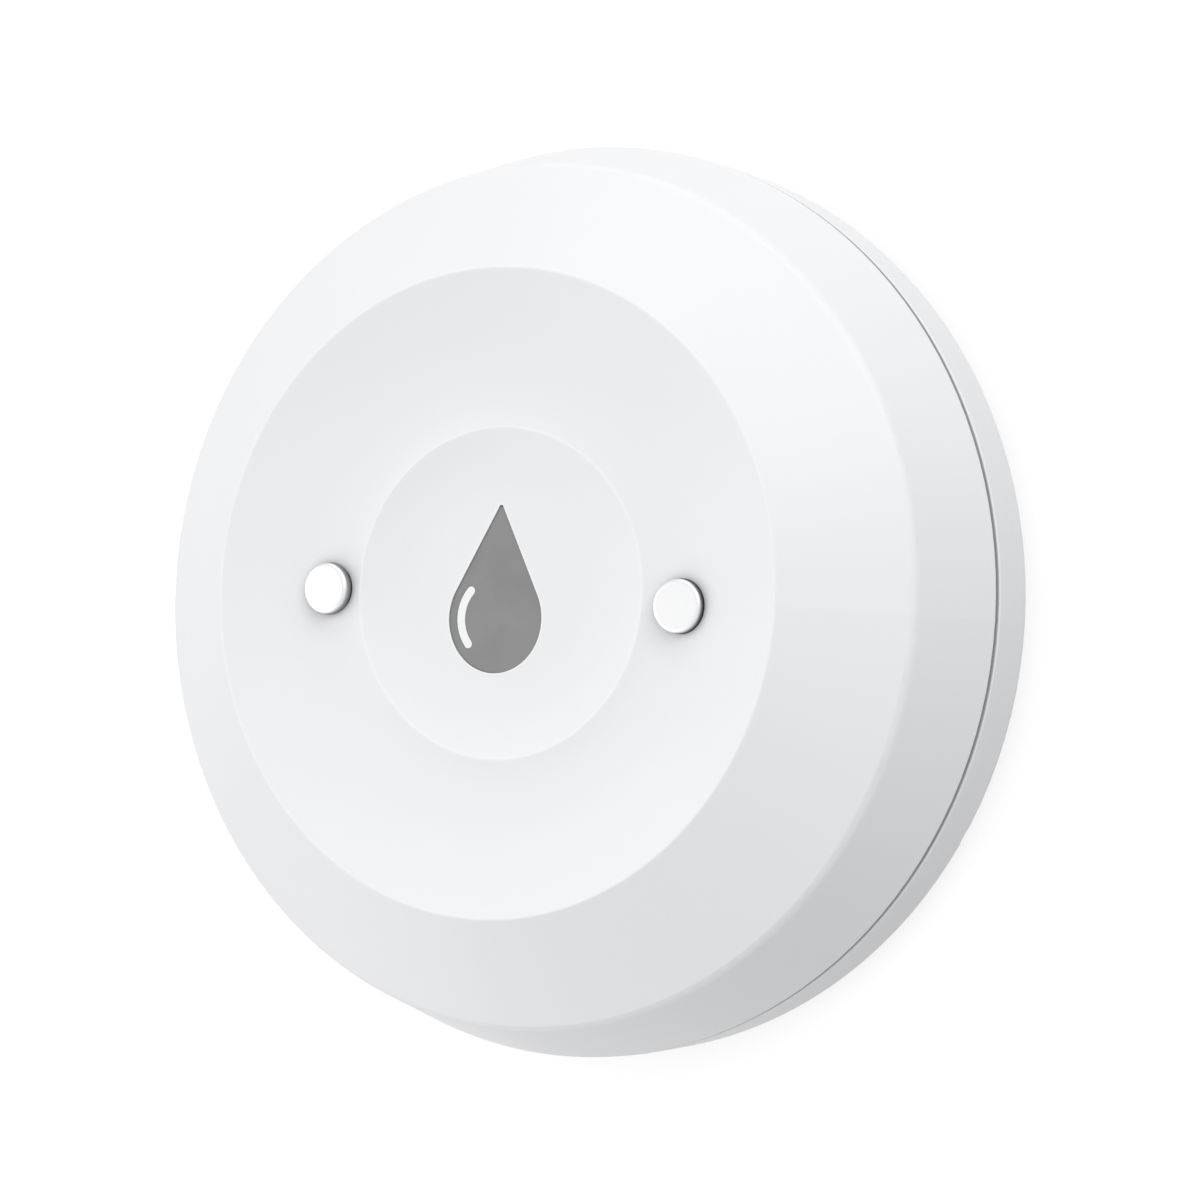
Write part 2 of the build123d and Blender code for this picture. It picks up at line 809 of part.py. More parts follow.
def sensing_chip():
    """Eight-legged chip that reads the probes."""
    chip_x, chip_y = chip_centre()
    bottom = board_top + chip_lift
    body = block(chip_width, chip_depth, bottom, board_top + chip_height, chip_x, chip_y)
    body = fillet(body.edges().group_by(Axis.Z)[-1], chip_round)
    leg_middle_height = (bottom + board_top + chip_height) / 2
    first = chip_x - leg_pitch * (leg_rows - 1) / 2
    for number in range(leg_rows):
        x = first + number * leg_pitch
        for side in (-1, 1):
            edge = chip_y + side * chip_depth / 2
            arm = edge + side * leg_reach / 4
            toe = edge + side * leg_reach * 3 / 4
            knee_top = leg_middle_height + leg_thickness / 2
            knee = edge + side * (leg_reach / 2 - leg_thickness / 2)
            body += block(leg_width, leg_reach / 2, knee_top - leg_thickness, knee_top, x, arm)
            body += block(leg_width, leg_thickness, board_top, knee_top, x, knee)
            toe_length = leg_reach / 2 + leg_thickness
            body += block(leg_width, toe_length, board_top, board_top + leg_thickness, x, toe)
    return body


def quartz_crystal():
    """Metal can of the quartz crystal."""
    chip_x, chip_y = chip_centre()
    x = chip_x - crystal_shift
    y = chip_y - chip_depth / 2 - leg_reach - crystal_gap - crystal_depth / 2
    can = block(crystal_width, crystal_depth, board_top, board_top + crystal_height, x, y)
    return fillet(can.edges().filter_by(Axis.Z) + can.edges().group_by(Axis.Z)[-1], crystal_round)


def capacitors():
    """Two moulded capacitors, one at each side of the board."""
    pieces = []
    for side in (-1, 1):
        x = side * capacitor_place
        piece = block(capacitor_width, capacitor_depth, board_top, board_top + capacitor_height, x, 0)
        pieces.append(fillet(piece.edges().group_by(Axis.Z)[-1], capacitor_round))
    return group(pieces)


def resistors():
    """Two pairs of small resistors between the light and the radio module."""
    pieces = []
    for share in (-1.5, -0.5, 0.5, 1.5):
        x = share * resistor_spacing
        top = board_top + resistor_height
        piece = block(resistor_width, resistor_depth, board_top, top, x, resistor_row)
        pieces.append(fillet(piece.edges().group_by(Axis.Z)[-1], resistor_round))
    return group(pieces)


nodes = (
    top_shell,
    drop_window,
    light_guide,
    drip_probes,
    drip_probe_seals,
    drip_probe_washers,
    drip_probe_nuts,
    base_cover,
    seal_ring,
    rubber_feet,
    floor_probes,
    floor_probe_seals,
    floor_probe_posts,
    circuit_board,
    board_screws,
    battery_cell,
    battery_holder,
    battery_plus_clip,
    battery_minus_contact,
    radio_module,
    radio_shield,
    antenna,
    indicator_led,
    pairing_switch,
    pairing_button,
    contact_sleeves,
    contact_pin_left,
    contact_pin_right,
    sensing_chip,
    quartz_crystal,
    capacitors,
    resistors,
)

os.makedirs("parts", exist_ok=True)
for make_node in nodes:
    export_step(make_node(), f"parts/{make_node.__name__}.step")
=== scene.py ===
"""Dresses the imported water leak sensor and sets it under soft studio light.

The disc lies on the floor with its dished face up. Blender lengths are in metres; a value
whose name ends in _mm is in millimetres and is scaled where it is used.
"""

import logging
import math
from dataclasses import dataclass, field
from enum import Enum
from functools import reduce

import bmesh
import bpy
from mathutils import Matrix, Vector


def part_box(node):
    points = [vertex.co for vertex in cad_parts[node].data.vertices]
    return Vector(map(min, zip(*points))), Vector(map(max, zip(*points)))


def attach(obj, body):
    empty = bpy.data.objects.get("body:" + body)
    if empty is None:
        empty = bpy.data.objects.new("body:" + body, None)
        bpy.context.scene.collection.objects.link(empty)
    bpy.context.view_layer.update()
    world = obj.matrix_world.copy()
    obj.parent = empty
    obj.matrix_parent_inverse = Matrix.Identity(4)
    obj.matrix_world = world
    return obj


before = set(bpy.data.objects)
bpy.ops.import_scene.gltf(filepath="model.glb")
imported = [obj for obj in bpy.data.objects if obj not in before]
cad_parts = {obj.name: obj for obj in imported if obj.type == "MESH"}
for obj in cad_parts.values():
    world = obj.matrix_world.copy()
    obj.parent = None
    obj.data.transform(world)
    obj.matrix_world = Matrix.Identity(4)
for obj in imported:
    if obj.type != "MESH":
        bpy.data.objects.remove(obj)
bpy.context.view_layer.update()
log = logging.getLogger("leak_sensor")
MM = 0.001
WHITE = (1.0, 1.0, 1.0, 1.0)
DOME_RINGS, WIRE_SIDES, BLOCK_DIVISIONS, CORNER_STEPS = 10, 8, 3, 3
BELLY_STEPS, TIP_STEPS, ROUND_STEPS, FLOOR_STEPS = 48, 8, 144, 96

Point = tuple[float, float]
Size = tuple[float, float, float]
Colour = tuple[float, float, float]
Inputs = tuple[tuple[str, float], ...]
Box = tuple[Vector, Vector]
Node = bpy.types.Node
Socket = bpy.types.NodeSocket
Tree = bpy.types.NodeTree


class Body(Enum):
    """Bodies that the sensor's joints move."""

    BASE = "base"
    SEAL = "seal"
    HOUSING = "housing"
    PLUNGER = "pairing_plunger"
    LEFT_PIN = "left_pin"
    RIGHT_PIN = "right_pin"


class Form(Enum):
    """Small forms that are repeated over the board."""

    DOME = "dome"
    BLOCK = "block"
    RING = "ring"
    BARREL = "barrel"


class Effect(Enum):
    """Surface effects that several finishes share."""

    GRAIN = "moulded grain"
    RINGS = "turned rings"
    LINES = "drawn lines"
    WEAVE = "glass weave"


Pattern = tuple[Effect, Inputs]


class Sheet:
    """One node tree, with short ways to add and join its nodes."""

    def __init__(self, tree: Tree) -> None:
        """Empty the tree and keep it."""
        self.tree = tree
        tree.nodes.clear()

    def add(self, kind: str, inputs: dict | None = None, **settings: object) -> Node:
        """Add one node.

        Args:
            kind: Blender's name of the node type.
            inputs: Values or output sockets, by input name or number.
            settings: Properties of the node.

        Returns:
            The new node.
        """
        node = self.tree.nodes.new(kind)
        for name, value in settings.items():
            setattr(node, name, value)
        for name, value in (inputs or {}).items():
            if isinstance(value, Socket):
                self.tree.links.new(value, node.inputs[name])
            else:
                node.inputs[name].default_value = value
        return node

    def math(self, operation: str, first: Socket | float, second: Socket | float = 0.0) -> Socket:
        """Join two values or sockets with one of Blender's sums."""
        return self.add("ShaderNodeMath", {0: first, 1: second}, operation=operation).outputs[0]

    def weigh(self, first: Socket, first_share: float, second: Socket, second_share: float) -> Socket:
        """Add a share of one value to a share of another."""
        shares = [self.math("MULTIPLY", *pair) for pair in ((first, first_share), (second, second_share))]
        return self.math("ADD", *shares)

    def length(self, *parts: Socket) -> Socket:
        """Length of a vector that is given by its parts along X, Y and Z."""
        vector = self.add("ShaderNodeCombineXYZ", dict(enumerate(parts))).outputs[0]
        return self.add("ShaderNodeVectorMath", {0: vector}, operation="LENGTH").outputs["Value"]

    def noise(self, place: Socket, scale: Socket | float, detail: float, **more: float) -> Socket:
        """Noise from 0 to 1 over a place, with its waves in a metre and its number of finer layers."""
        inputs = {"Vector": place, "Scale": scale, "Detail": detail, **more}
        return self.add("ShaderNodeTexNoise", inputs).outputs[0]

    def remap(self, value: Socket, low: float, high: float, start: float = 0.0, end: float = 1.0) -> Socket:
        """Stretch a value that runs from start to end, so that it runs from low to high."""
        inputs = {"Value": value, "From Min": start, "From Max": end, "To Min": low, "To Max": high}
        return self.add("ShaderNodeMapRange", inputs).outputs[0]

    def blend(self, share: Socket, first: Socket | Colour, second: Colour) -> Socket:
        """Mix two colours by a share that is 0 for the first and 1 for the second."""
        start = first if isinstance(first, Socket) else (*first, 1.0)
        return self.add("ShaderNodeMix", {0: share, 6: start, 7: (*second, 1.0)}, data_type="RGBA").outputs[2]


class EffectLibrary:
    """Shader node groups, each made once and placed in every finish that uses it."""

    def __init__(self) -> None:
        """Start with no groups."""
        self.groups: dict[Effect, Tree] = {}

    def get(self, effect: Effect) -> Tree:
        """Find or make the group of one effect.

        Args:
            effect: The effect wanted.

        Returns:
            Its node group.
        """
        makers = {Effect.GRAIN: self.grain, Effect.RINGS: self.rings, Effect.LINES: self.lines,
                  Effect.WEAVE: self.weave}
        if effect not in self.groups:
            self.groups[effect] = makers[effect]()
        return self.groups[effect]

    def new_group(self, effect: Effect, **inputs: float) -> tuple[Sheet, dict[str, Socket]]:
        """Make an empty group with a relief and a cloud as its results.

        Args:
            effect: The effect that names the group.
            inputs: Value inputs and what they hold at first.

        Returns:
            The group's sheet, and its inputs by name.
        """
        tree = bpy.data.node_groups.new(effect.value, "ShaderNodeTree")
        tree.interface.new_socket("Vector", in_out="INPUT", socket_type="NodeSocketVector")
        for name, value in inputs.items():
            socket = tree.interface.new_socket(name, in_out="INPUT", socket_type="NodeSocketFloat")
            socket.default_value = value
        for name in ("Height", "Cloud"):
            tree.interface.new_socket(name, in_out="OUTPUT", socket_type="NodeSocketFloat")
        sheet = Sheet(tree)
        given = sheet.add("NodeGroupInput").outputs
        return sheet, {name: given[name] for name in ("Vector", *inputs)}

    def close(self, sheet: Sheet, height: Socket, cloud: Socket) -> Tree:
        """Join a group's results to its outputs and return its tree."""
        sheet.add("NodeGroupOutput", {"Height": height, "Cloud": cloud})
        return sheet.tree

    def grain(self) -> Tree:
        """Fine moulded grain with slow clouds.

        Returns:
            The finished group.
        """
        sheet, given = self.new_group(Effect.GRAIN, Grain=9000.0, Cloud=60.0)
        place, fineness = given["Vector"], given["Grain"]
        fine = sheet.noise(place, fineness, 2.0, Roughness=0.6)
        broad = sheet.noise(place, sheet.math("MULTIPLY", fineness, 0.31), 1.0)
        cloud = sheet.noise(place, given["Cloud"], 3.0, Distortion=0.4)
        return self.close(sheet, sheet.weigh(fine, 0.7, broad, 0.3), sheet.remap(cloud, 0.0, 1.0, 0.3, 0.7))

    def rings(self) -> Tree:
        """Fine rings round a centre, as a lathe or a polishing wheel leaves them.

        Returns:
            The finished group.
        """
        places = {"Middle X": 0.0, "Middle Y": 0.0, "Centre X": 0.0, "Centre Y": 0.0}
        sheet, given = self.new_group(Effect.RINGS, **places, Pitch=0.0001)
        parts = sheet.add("ShaderNodeSeparateXYZ", {0: given["Vector"]}).outputs
        aside = []
        for letter in "XY":
            offset = sheet.math("ABSOLUTE", sheet.math("SUBTRACT", parts[letter], given["Middle " + letter]))
            aside.append(sheet.math("SUBTRACT", offset, given["Centre " + letter]))
        count = sheet.math("DIVIDE", sheet.length(*aside), given["Pitch"])
        ripple = sheet.add("ShaderNodeTexNoise", {"W": count, "Scale": 1.0, "Detail": 1.0},
                           noise_dimensions="1D")
        wear = sheet.noise(given["Vector"], 900.0, 2.0)
        return self.close(sheet, sheet.weigh(ripple.outputs[0], 0.8, wear, 0.2), wear)

    def lines(self) -> Tree:
        """Fine straight lines along X, as rolled and drawn sheet has.

        Returns:
            The finished group.
        """
        sheet, given = self.new_group(Effect.LINES, Pitch=0.0001, Run=0.004)
        run, pitch = (sheet.math("DIVIDE", 1.0, given[name]) for name in ("Run", "Pitch"))
        scale = sheet.add("ShaderNodeCombineXYZ", {0: run, 1: pitch, 2: pitch})
        stretched = sheet.add("ShaderNodeVectorMath", {0: given["Vector"], 1: scale.outputs[0]},
                              operation="MULTIPLY")
        drawn = sheet.noise(stretched.outputs[0], 1.0, 3.0)
        return self.close(sheet, drawn, sheet.noise(given["Vector"], 420.0, 3.0))

    def weave(self) -> Tree:
        """Faint cross weave of the glass cloth inside a printed board.

        Returns:
            The finished group.
        """
        sheet, given = self.new_group(Effect.WEAVE, Pitch=0.0006)
        parts = sheet.add("ShaderNodeSeparateXYZ", {0: given["Vector"]}).outputs
        turn = sheet.math("DIVIDE", 2 * math.pi, given["Pitch"])
        waves = [sheet.math("SINE", sheet.math("MULTIPLY", parts[letter], turn)) for letter in "XY"]
        cross = sheet.math("MULTIPLY", *waves)
        height = sheet.weigh(cross, 0.35, sheet.noise(given["Vector"], 300.0, 4.0), 1.0)
        return self.close(sheet, height, sheet.remap(cross, 0.5, 1.0))


effects = EffectLibrary()


@dataclass(frozen=True)
class Finish:
    """A finish: two close colours, a roughness range and one surface effect."""

    name: str  # name of the material
    colour: Colour  # main colour
    tint: Colour  # colour in the effect's clouds
    smooth: float  # lowest roughness
    rough: float  # highest roughness
    pattern: Pattern  # surface effect and the values of its inputs
    depth_mm: float = 0.004  # depth of the relief
    metal: bool = False  # whether the surface is metal
    coat: float = 0.0  # weight of a clear coat
    record_slot: str = ""  # the record's slot, where it isn't the name
    # Painted shade: these darken the colour in narrow gaps and corners, where shade falls.
    crevice: float = 1.0  # share of the colour that is left in the deepest crevices
    crevice_mm: float = 1.0  # width of the gaps that count as crevices
    crevice_open: float = 0.12  # openness of a place, from 0 to 1, at which it counts as deep
    unshaded_open: float = 0.8  # openness at which it gets no painted shade

    def material(self) -> bpy.types.Material:
        """Find the finish's material, or make it from its nodes.

        Returns:
            The material.
        """
        known = bpy.data.materials.get(self.name + "_finish")
        if known:
            return known
        material = bpy.data.materials.new(self.name + "_finish")
        material.use_nodes = True
        sheet = Sheet(material.node_tree)
        place = sheet.add("ShaderNodeTexCoord").outputs["Object"]
        effect, inputs = self.pattern
        relief = sheet.add("ShaderNodeGroup", {"Vector": place, **dict(inputs)},
                           node_tree=effects.get(effect)).outputs
        bump = sheet.add("ShaderNodeBump", {"Height": relief["Height"], "Strength": 1.0,
                                            "Distance": self.depth_mm * MM})
        shader = sheet.add("ShaderNodeBsdfPrincipled", {
            "Base Color": self.painted_crevice_shade(sheet, self.tone(sheet, place, relief["Cloud"])),
            "Roughness": sheet.remap(relief["Cloud"], self.smooth, self.rough),
            "Metallic": self.metallic(sheet, place),
            "Coat Weight": self.coat,
            "Coat Roughness": self.smooth / 2,
            "Normal": bump.outputs[0],
        })
        sheet.add("ShaderNodeOutputMaterial", {"Surface": shader.outputs[0]})
        return material

    def painted_crevice_shade(self, sheet: Sheet, tone: Socket) -> Socket:
        """Darken the colour in narrow gaps and corners, as painted shade where shade falls.

        Args:
            sheet: The material's sheet.
            tone: Socket with the colour before the painted shade.

        Returns:
            Socket with the colour.
        """
        if self.crevice == 1.0:
            return tone
        # Painted shade, taken from how open each place is: the narrower the gap, the darker the colour.
        gap = sheet.add("ShaderNodeAmbientOcclusion", {"Distance": self.crevice_mm * MM}, samples=8)
        share = sheet.remap(gap.outputs["AO"], self.crevice, 1.0, self.crevice_open, self.unshaded_open)
        return sheet.add("ShaderNodeVectorMath", {0: tone, "Scale": share}, operation="SCALE").outputs[0]

    def tone(self, sheet: Sheet, place: Socket, cloud: Socket) -> Socket:
        """Colour of the surface at a place, in the effect's clouds."""
        return sheet.blend(cloud, self.colour, self.tint)

    def metallic(self, sheet: Sheet, place: Socket) -> Socket | float:
        """How far the surface is metal, from 0 to 1."""
        return float(self.metal)


@dataclass(frozen=True)
class EdgeHighlightFinish(Finish):
    """A finish with a painted highlight along its round edges, where its colour is lighter."""

    edges_mm: tuple[Point, ...] = ()  # radius about the axis and height of each round edge
    reach_mm: float = 0.2  # distance from an edge over which it is lighter
    edge_highlight: Colour = (0.932, 0.938, 0.953)  # colour of the painted highlight at the edge

    def tone(self, sheet: Sheet, place: Socket, cloud: Socket) -> Socket:
        """Colour of the surface, with a painted highlight along its edges.

        Args:
            sheet: The material's sheet.
            place: Socket with the place on the object.
            cloud: Socket with the effect's clouds.

        Returns:
            Socket with the colour.
        """
        x, y, up = sheet.add("ShaderNodeSeparateXYZ", {0: place}).outputs
        out = sheet.length(x, y)
        gaps = [sheet.length(sheet.math("SUBTRACT", out, radius * MM), sheet.math("SUBTRACT", up, height * MM))
                for radius, height in self.edges_mm]
        # Painted highlight: the colour gets lighter near the nearest round edge.
        nearest = reduce(lambda first, second: sheet.math("MINIMUM", first, second), gaps)
        share = sheet.remap(nearest, 1.0, 0.0, end=self.reach_mm * MM)
        return sheet.blend(share, super().tone(sheet, place, cloud), self.edge_highlight)


@dataclass(frozen=True)
class SplitFinish(Finish):
    """A finish that turns to another colour, and to metal if wanted, past a limit."""

    axis: int = 2  # axis that is compared, 0 to 2
    centre_mm: float = 0.0  # middle of the plain part along that axis
    half_mm: float = 0.0  # distance from the middle where the other part starts
    one_side: bool = False  # whether only the upper side of the limit is the other part
    other: Colour = (0.7, 0.7, 0.71)  # colour of the other part
    other_metal: bool = True  # whether the other part is metal

    def mask(self, sheet: Sheet, place: Socket) -> Socket:
        """Value that is 1 on the other part and 0 on the plain part.

        Args:
            sheet: The material's sheet.
            place: Socket with the place on the object.

        Returns:
            Socket with the value.
        """
        along = sheet.add("ShaderNodeSeparateXYZ", {0: place}).outputs[self.axis]
        offset = sheet.math("SUBTRACT", along, self.centre_mm * MM)
        reach = offset if self.one_side else sheet.math("ABSOLUTE", offset)
        return sheet.math("GREATER_THAN", reach, self.half_mm * MM)

    def tone(self, sheet: Sheet, place: Socket, cloud: Socket) -> Socket:
        """Colour of the surface on both sides of the limit."""
        return sheet.blend(self.mask(sheet, place), super().tone(sheet, place, cloud), self.other)

    def metallic(self, sheet: Sheet, place: Socket) -> Socket | float:
        """How far the surface is metal on both sides of the limit, from 0 to 1."""
        return self.mask(sheet, place) if self.other_metal else super().metallic(sheet, place)


def grain(size_mm: float, cloud_mm: float) -> Pattern:
    """Moulded grain, from the size of its grain and of its clouds."""
    return Effect.GRAIN, (("Grain", 1 / (size_mm * MM)), ("Cloud", 1 / (cloud_mm * MM)))


def rings(pitch_mm: float, spread_mm: Point, middle_mm: Point = (0.0, 0.0)) -> Pattern:
    """Turned rings, which lie evenly on all sides of a middle point.

    Args:
        pitch_mm: Distance between rings.
        spread_mm: Distance of each centre from the middle point along X and Y.
        middle_mm: Place of the middle point.

    Returns:
        The effect, with names and values of its inputs.
    """
    names = ("Centre X", "Centre Y", "Middle X", "Middle Y")
    places = zip(names, (value * MM for value in (*spread_mm, *middle_mm)))
    return Effect.RINGS, (("Pitch", pitch_mm * MM), *places)


def lines(pitch_mm: float, run_mm: float) -> Pattern:
    """Drawn lines, from the distance between them and their length."""
    return Effect.LINES, (("Pitch", pitch_mm * MM), ("Run", run_mm * MM))


def weave(pitch_mm: float) -> Pattern:
    """Weave of glass cloth, from its pitch."""
    return Effect.WEAVE, (("Pitch", pitch_mm * MM),)


def dress(finishes: dict[str, Finish], body: Body = Body.BASE) -> None:
    """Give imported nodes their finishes.

    Args:
        finishes: Finish of each node.
        body: Body that they ride on, for the log.
    """
    for node, finish in finishes.items():
        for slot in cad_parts[node].material_slots:
            slot.material = finish.material()
        log.info("%s: packed node on %s, %s", node, body.value, finish.name)


def solid_boxes(node: str) -> list[Box]:
    """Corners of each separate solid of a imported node.

    Args:
        node: Name of the node.

    Returns:
        Lowest and highest corner of each solid, from left to right.
    """
    copy = bmesh.new()
    copy.from_mesh(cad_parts[node].data)
    bmesh.ops.remove_doubles(copy, verts=copy.verts, dist=1e-6)
    boxes = []
    left = set(copy.verts)
    while left:
        reached = [left.pop()]
        solid = list(reached)
        while reached:
            for edge in reached.pop().link_edges:
                for vertex in edge.verts:
                    if vertex in left:
                        left.discard(vertex)
                        reached.append(vertex)
                        solid.append(vertex)
        boxes.append(tuple(Vector([pick(vertex.co[axis] for vertex in solid) for axis in range(3)])
                           for pick in (min, max)))
    copy.free()
    return sorted(boxes, key=lambda box: (round(box[0].x, 5), round(box[0].y, 5)))


def middle(box: Box) -> Vector:
    """Middle of a box given by its two corners."""
    return (box[0] + box[1]) / 2


class GeometryRecipe:
    """A Geometry Nodes tree that turns a marked mesh into a finished piece."""

    def __init__(self, name: str, inputs: dict[str, float]) -> None:
        """Make the tree and its named inputs.

        Args:
            name: Name of the tree.
            inputs: Sizes that the tree takes, with their values in metres or counts.
        """
        tree = bpy.data.node_groups.new(name, "GeometryNodeTree")
        tree.interface.new_socket("Geometry", in_out="INPUT", socket_type="NodeSocketGeometry")
        tree.interface.new_socket("Material", in_out="INPUT", socket_type="NodeSocketMaterial")
        for label in inputs:
            tree.interface.new_socket(label, in_out="INPUT", socket_type="NodeSocketFloat")
        tree.interface.new_socket("Geometry", in_out="OUTPUT", socket_type="NodeSocketGeometry")
        self.values = inputs
        self.sheet = Sheet(tree)
        self.given = self.sheet.add("NodeGroupInput").outputs

    def close(self, geometry: Socket, smooth: bool) -> None:
        """End the tree with plain geometry and its material.

        Args:
            geometry: Socket with the finished geometry.
            smooth: Whether its faces are shaded smooth.
        """
        for kind, inputs in (
            ("GeometryNodeRealizeInstances", {}),
            ("GeometryNodeSetShadeSmooth", {"Shade Smooth": smooth}),
            ("GeometryNodeSetMaterial", {"Material": self.given["Material"]}),
        ):
            geometry = self.sheet.add(kind, {"Geometry": geometry, **inputs}).outputs[0]
        self.sheet.add("NodeGroupOutput", {0: geometry})

    def run(self, piece: bpy.types.Object, finish: Finish, body: Body) -> None:
        """Run the tree on a piece, keep the result as a plain mesh and let it ride on its body.

        Args:
            piece: Object that holds the marked mesh.
            finish: Finish of the result.
            body: Body that carries it.
        """
        modifier = piece.modifiers.new(self.sheet.tree.name, "NODES")
        modifier.node_group = self.sheet.tree
        given = {"Material": finish.material(), **{name: float(value) for name, value in self.values.items()}}
        for item in self.sheet.tree.interface.items_tree:
            if item.in_out == "INPUT" and item.name in given:
                modifier[item.identifier] = given[item.name]
        view = bpy.context.evaluated_depsgraph_get()
        result = bpy.data.meshes.new_from_object(piece.evaluated_get(view), depsgraph=view)
        piece.modifiers.clear()
        piece.data = result
        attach(piece, body.value)
        log.info("%s: %d faces on %s, %s", piece.name, len(result.polygons), body.value, finish.name)


def add_object(name: str, data: bpy.types.ID) -> bpy.types.Object:
    """Make an object from its data and link it to the scene.

    Args:
        name: Name of the object.
        data: Its mesh, lamp or camera.

    Returns:
        The new object.
    """
    made = bpy.data.objects.new(name, data)
    bpy.context.scene.collection.objects.link(made)
    return made


def new_piece(name: str, points: list[Vector], edges: list[tuple[int, int]]) -> bpy.types.Object:
    """Make an object from points and edges.

    Args:
        name: Name of the object.
        points: Its points in metres.
        edges: Pairs of point numbers.

    Returns:
        The new object, linked to the scene.
    """
    mesh = bpy.data.meshes.new(name)
    mesh.from_pydata(points, edges, [])
    return add_object(name, mesh)


@dataclass
class Repeat:
    """Copies of one small form, each with its own place, size and turn."""

    name: str  # name of the piece
    form: Form  # the form that is repeated
    finish: Finish  # finish of the copies
    body: Body = Body.BASE  # body that carries them
    sides: int = 16  # number of sides of the round forms
    crease: float = 0.82  # sharpness of the edges of a block, from 0 to 1
    wire_share: float = 0.16  # thickness of a ring as a share of its width
    path_share: float = 0.42  # radius of a ring's middle as a share of its width
    places: list[Vector] = field(default_factory=list)  # middle of each copy in metres
    sizes: list[Vector] = field(default_factory=list)  # its width, depth and height in metres
    turns: list[float] = field(default_factory=list)  # its turn about Z in radians

    def put(self, place: Vector, size_mm: Size, turn: float = 0.0) -> None:
        """Mark one copy.

        Args:
            place: Its middle, in metres.
            size_mm: Its width, depth and height.
            turn: Its turn about Z in radians.
        """
        self.places.append(Vector(place))
        self.sizes.append(Vector(size_mm) * MM)
        self.turns.append(turn)

    def put_at_ends(self, node: str, size_mm: Size) -> None:
        """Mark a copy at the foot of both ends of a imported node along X.

        Args:
            node: Name of the node.
            size_mm: Width, depth and height of a copy.
        """
        low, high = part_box(node)
        for x in (low.x, high.x):
            self.put(Vector((x, middle((low, high)).y, low.z)), size_mm)

    def form_socket(self, recipe: GeometryRecipe) -> Socket:
        """Add the nodes that make the form at unit size.

        Args:
            recipe: Tree that the nodes go into.

        Returns:
            Socket with the form's mesh.
        """
        sheet, given = recipe.sheet, recipe.given
        if self.form is Form.DOME:
            kind = "GeometryNodeMeshUVSphere"
            inputs = {"Segments": given["Sides"], "Rings": DOME_RINGS, "Radius": 0.5}
        elif self.form is Form.BARREL:
            kind = "GeometryNodeMeshCylinder"
            inputs = {"Vertices": given["Sides"], "Radius": 0.5, "Depth": 1.0}
        elif self.form is Form.RING:
            kind = "GeometryNodeCurveToMesh"
            circles = {"Curve": (given["Sides"], self.path_share),
                       "Profile Curve": (WIRE_SIDES, given["Wire"])}
            inputs = {name: sheet.add("GeometryNodeCurvePrimitiveCircle",
                                      {"Resolution": steps, "Radius": radius}).outputs[0]
                      for name, (steps, radius) in circles.items()}
        else:
            cube = sheet.add("GeometryNodeMeshCube", {"Size": (1.0, 1.0, 1.0)}).outputs[0]
            kind = "GeometryNodeSubdivisionSurface"
            inputs = {"Mesh": cube, "Level": BLOCK_DIVISIONS, "Edge Crease": given["Crease"]}
        return sheet.add(kind, inputs).outputs[0]

    def build(self) -> None:
        """Make all the copies as one plain mesh."""
        piece = new_piece(self.name, self.places, [])
        sizes = piece.data.attributes.new("size", "FLOAT_VECTOR", "POINT")
        turns = piece.data.attributes.new("turn", "FLOAT_VECTOR", "POINT")
        for number, size in enumerate(self.sizes):
            sizes.data[number].vector = size
            turns.data[number].vector = (0.0, 0.0, self.turns[number])
        recipe = GeometryRecipe(self.name + "_copies", {"Sides": self.sides, "Crease": self.crease,
                                                        "Wire": self.wire_share / 2})
        sheet = recipe.sheet
        size, turn = (sheet.add("GeometryNodeInputNamedAttribute", {"Name": name}, data_type="FLOAT_VECTOR")
                      for name in ("size", "turn"))
        spin = sheet.add("FunctionNodeEulerToRotation", {0: turn.outputs[0]})
        copies = sheet.add("GeometryNodeInstanceOnPoints", {
            "Points": recipe.given["Geometry"],
            "Instance": self.form_socket(recipe),
            "Rotation": spin.outputs[0],
            "Scale": size.outputs[0],
        })
        recipe.close(copies.outputs[0], self.form is not Form.BARREL)
        recipe.run(piece, self.finish, self.body)


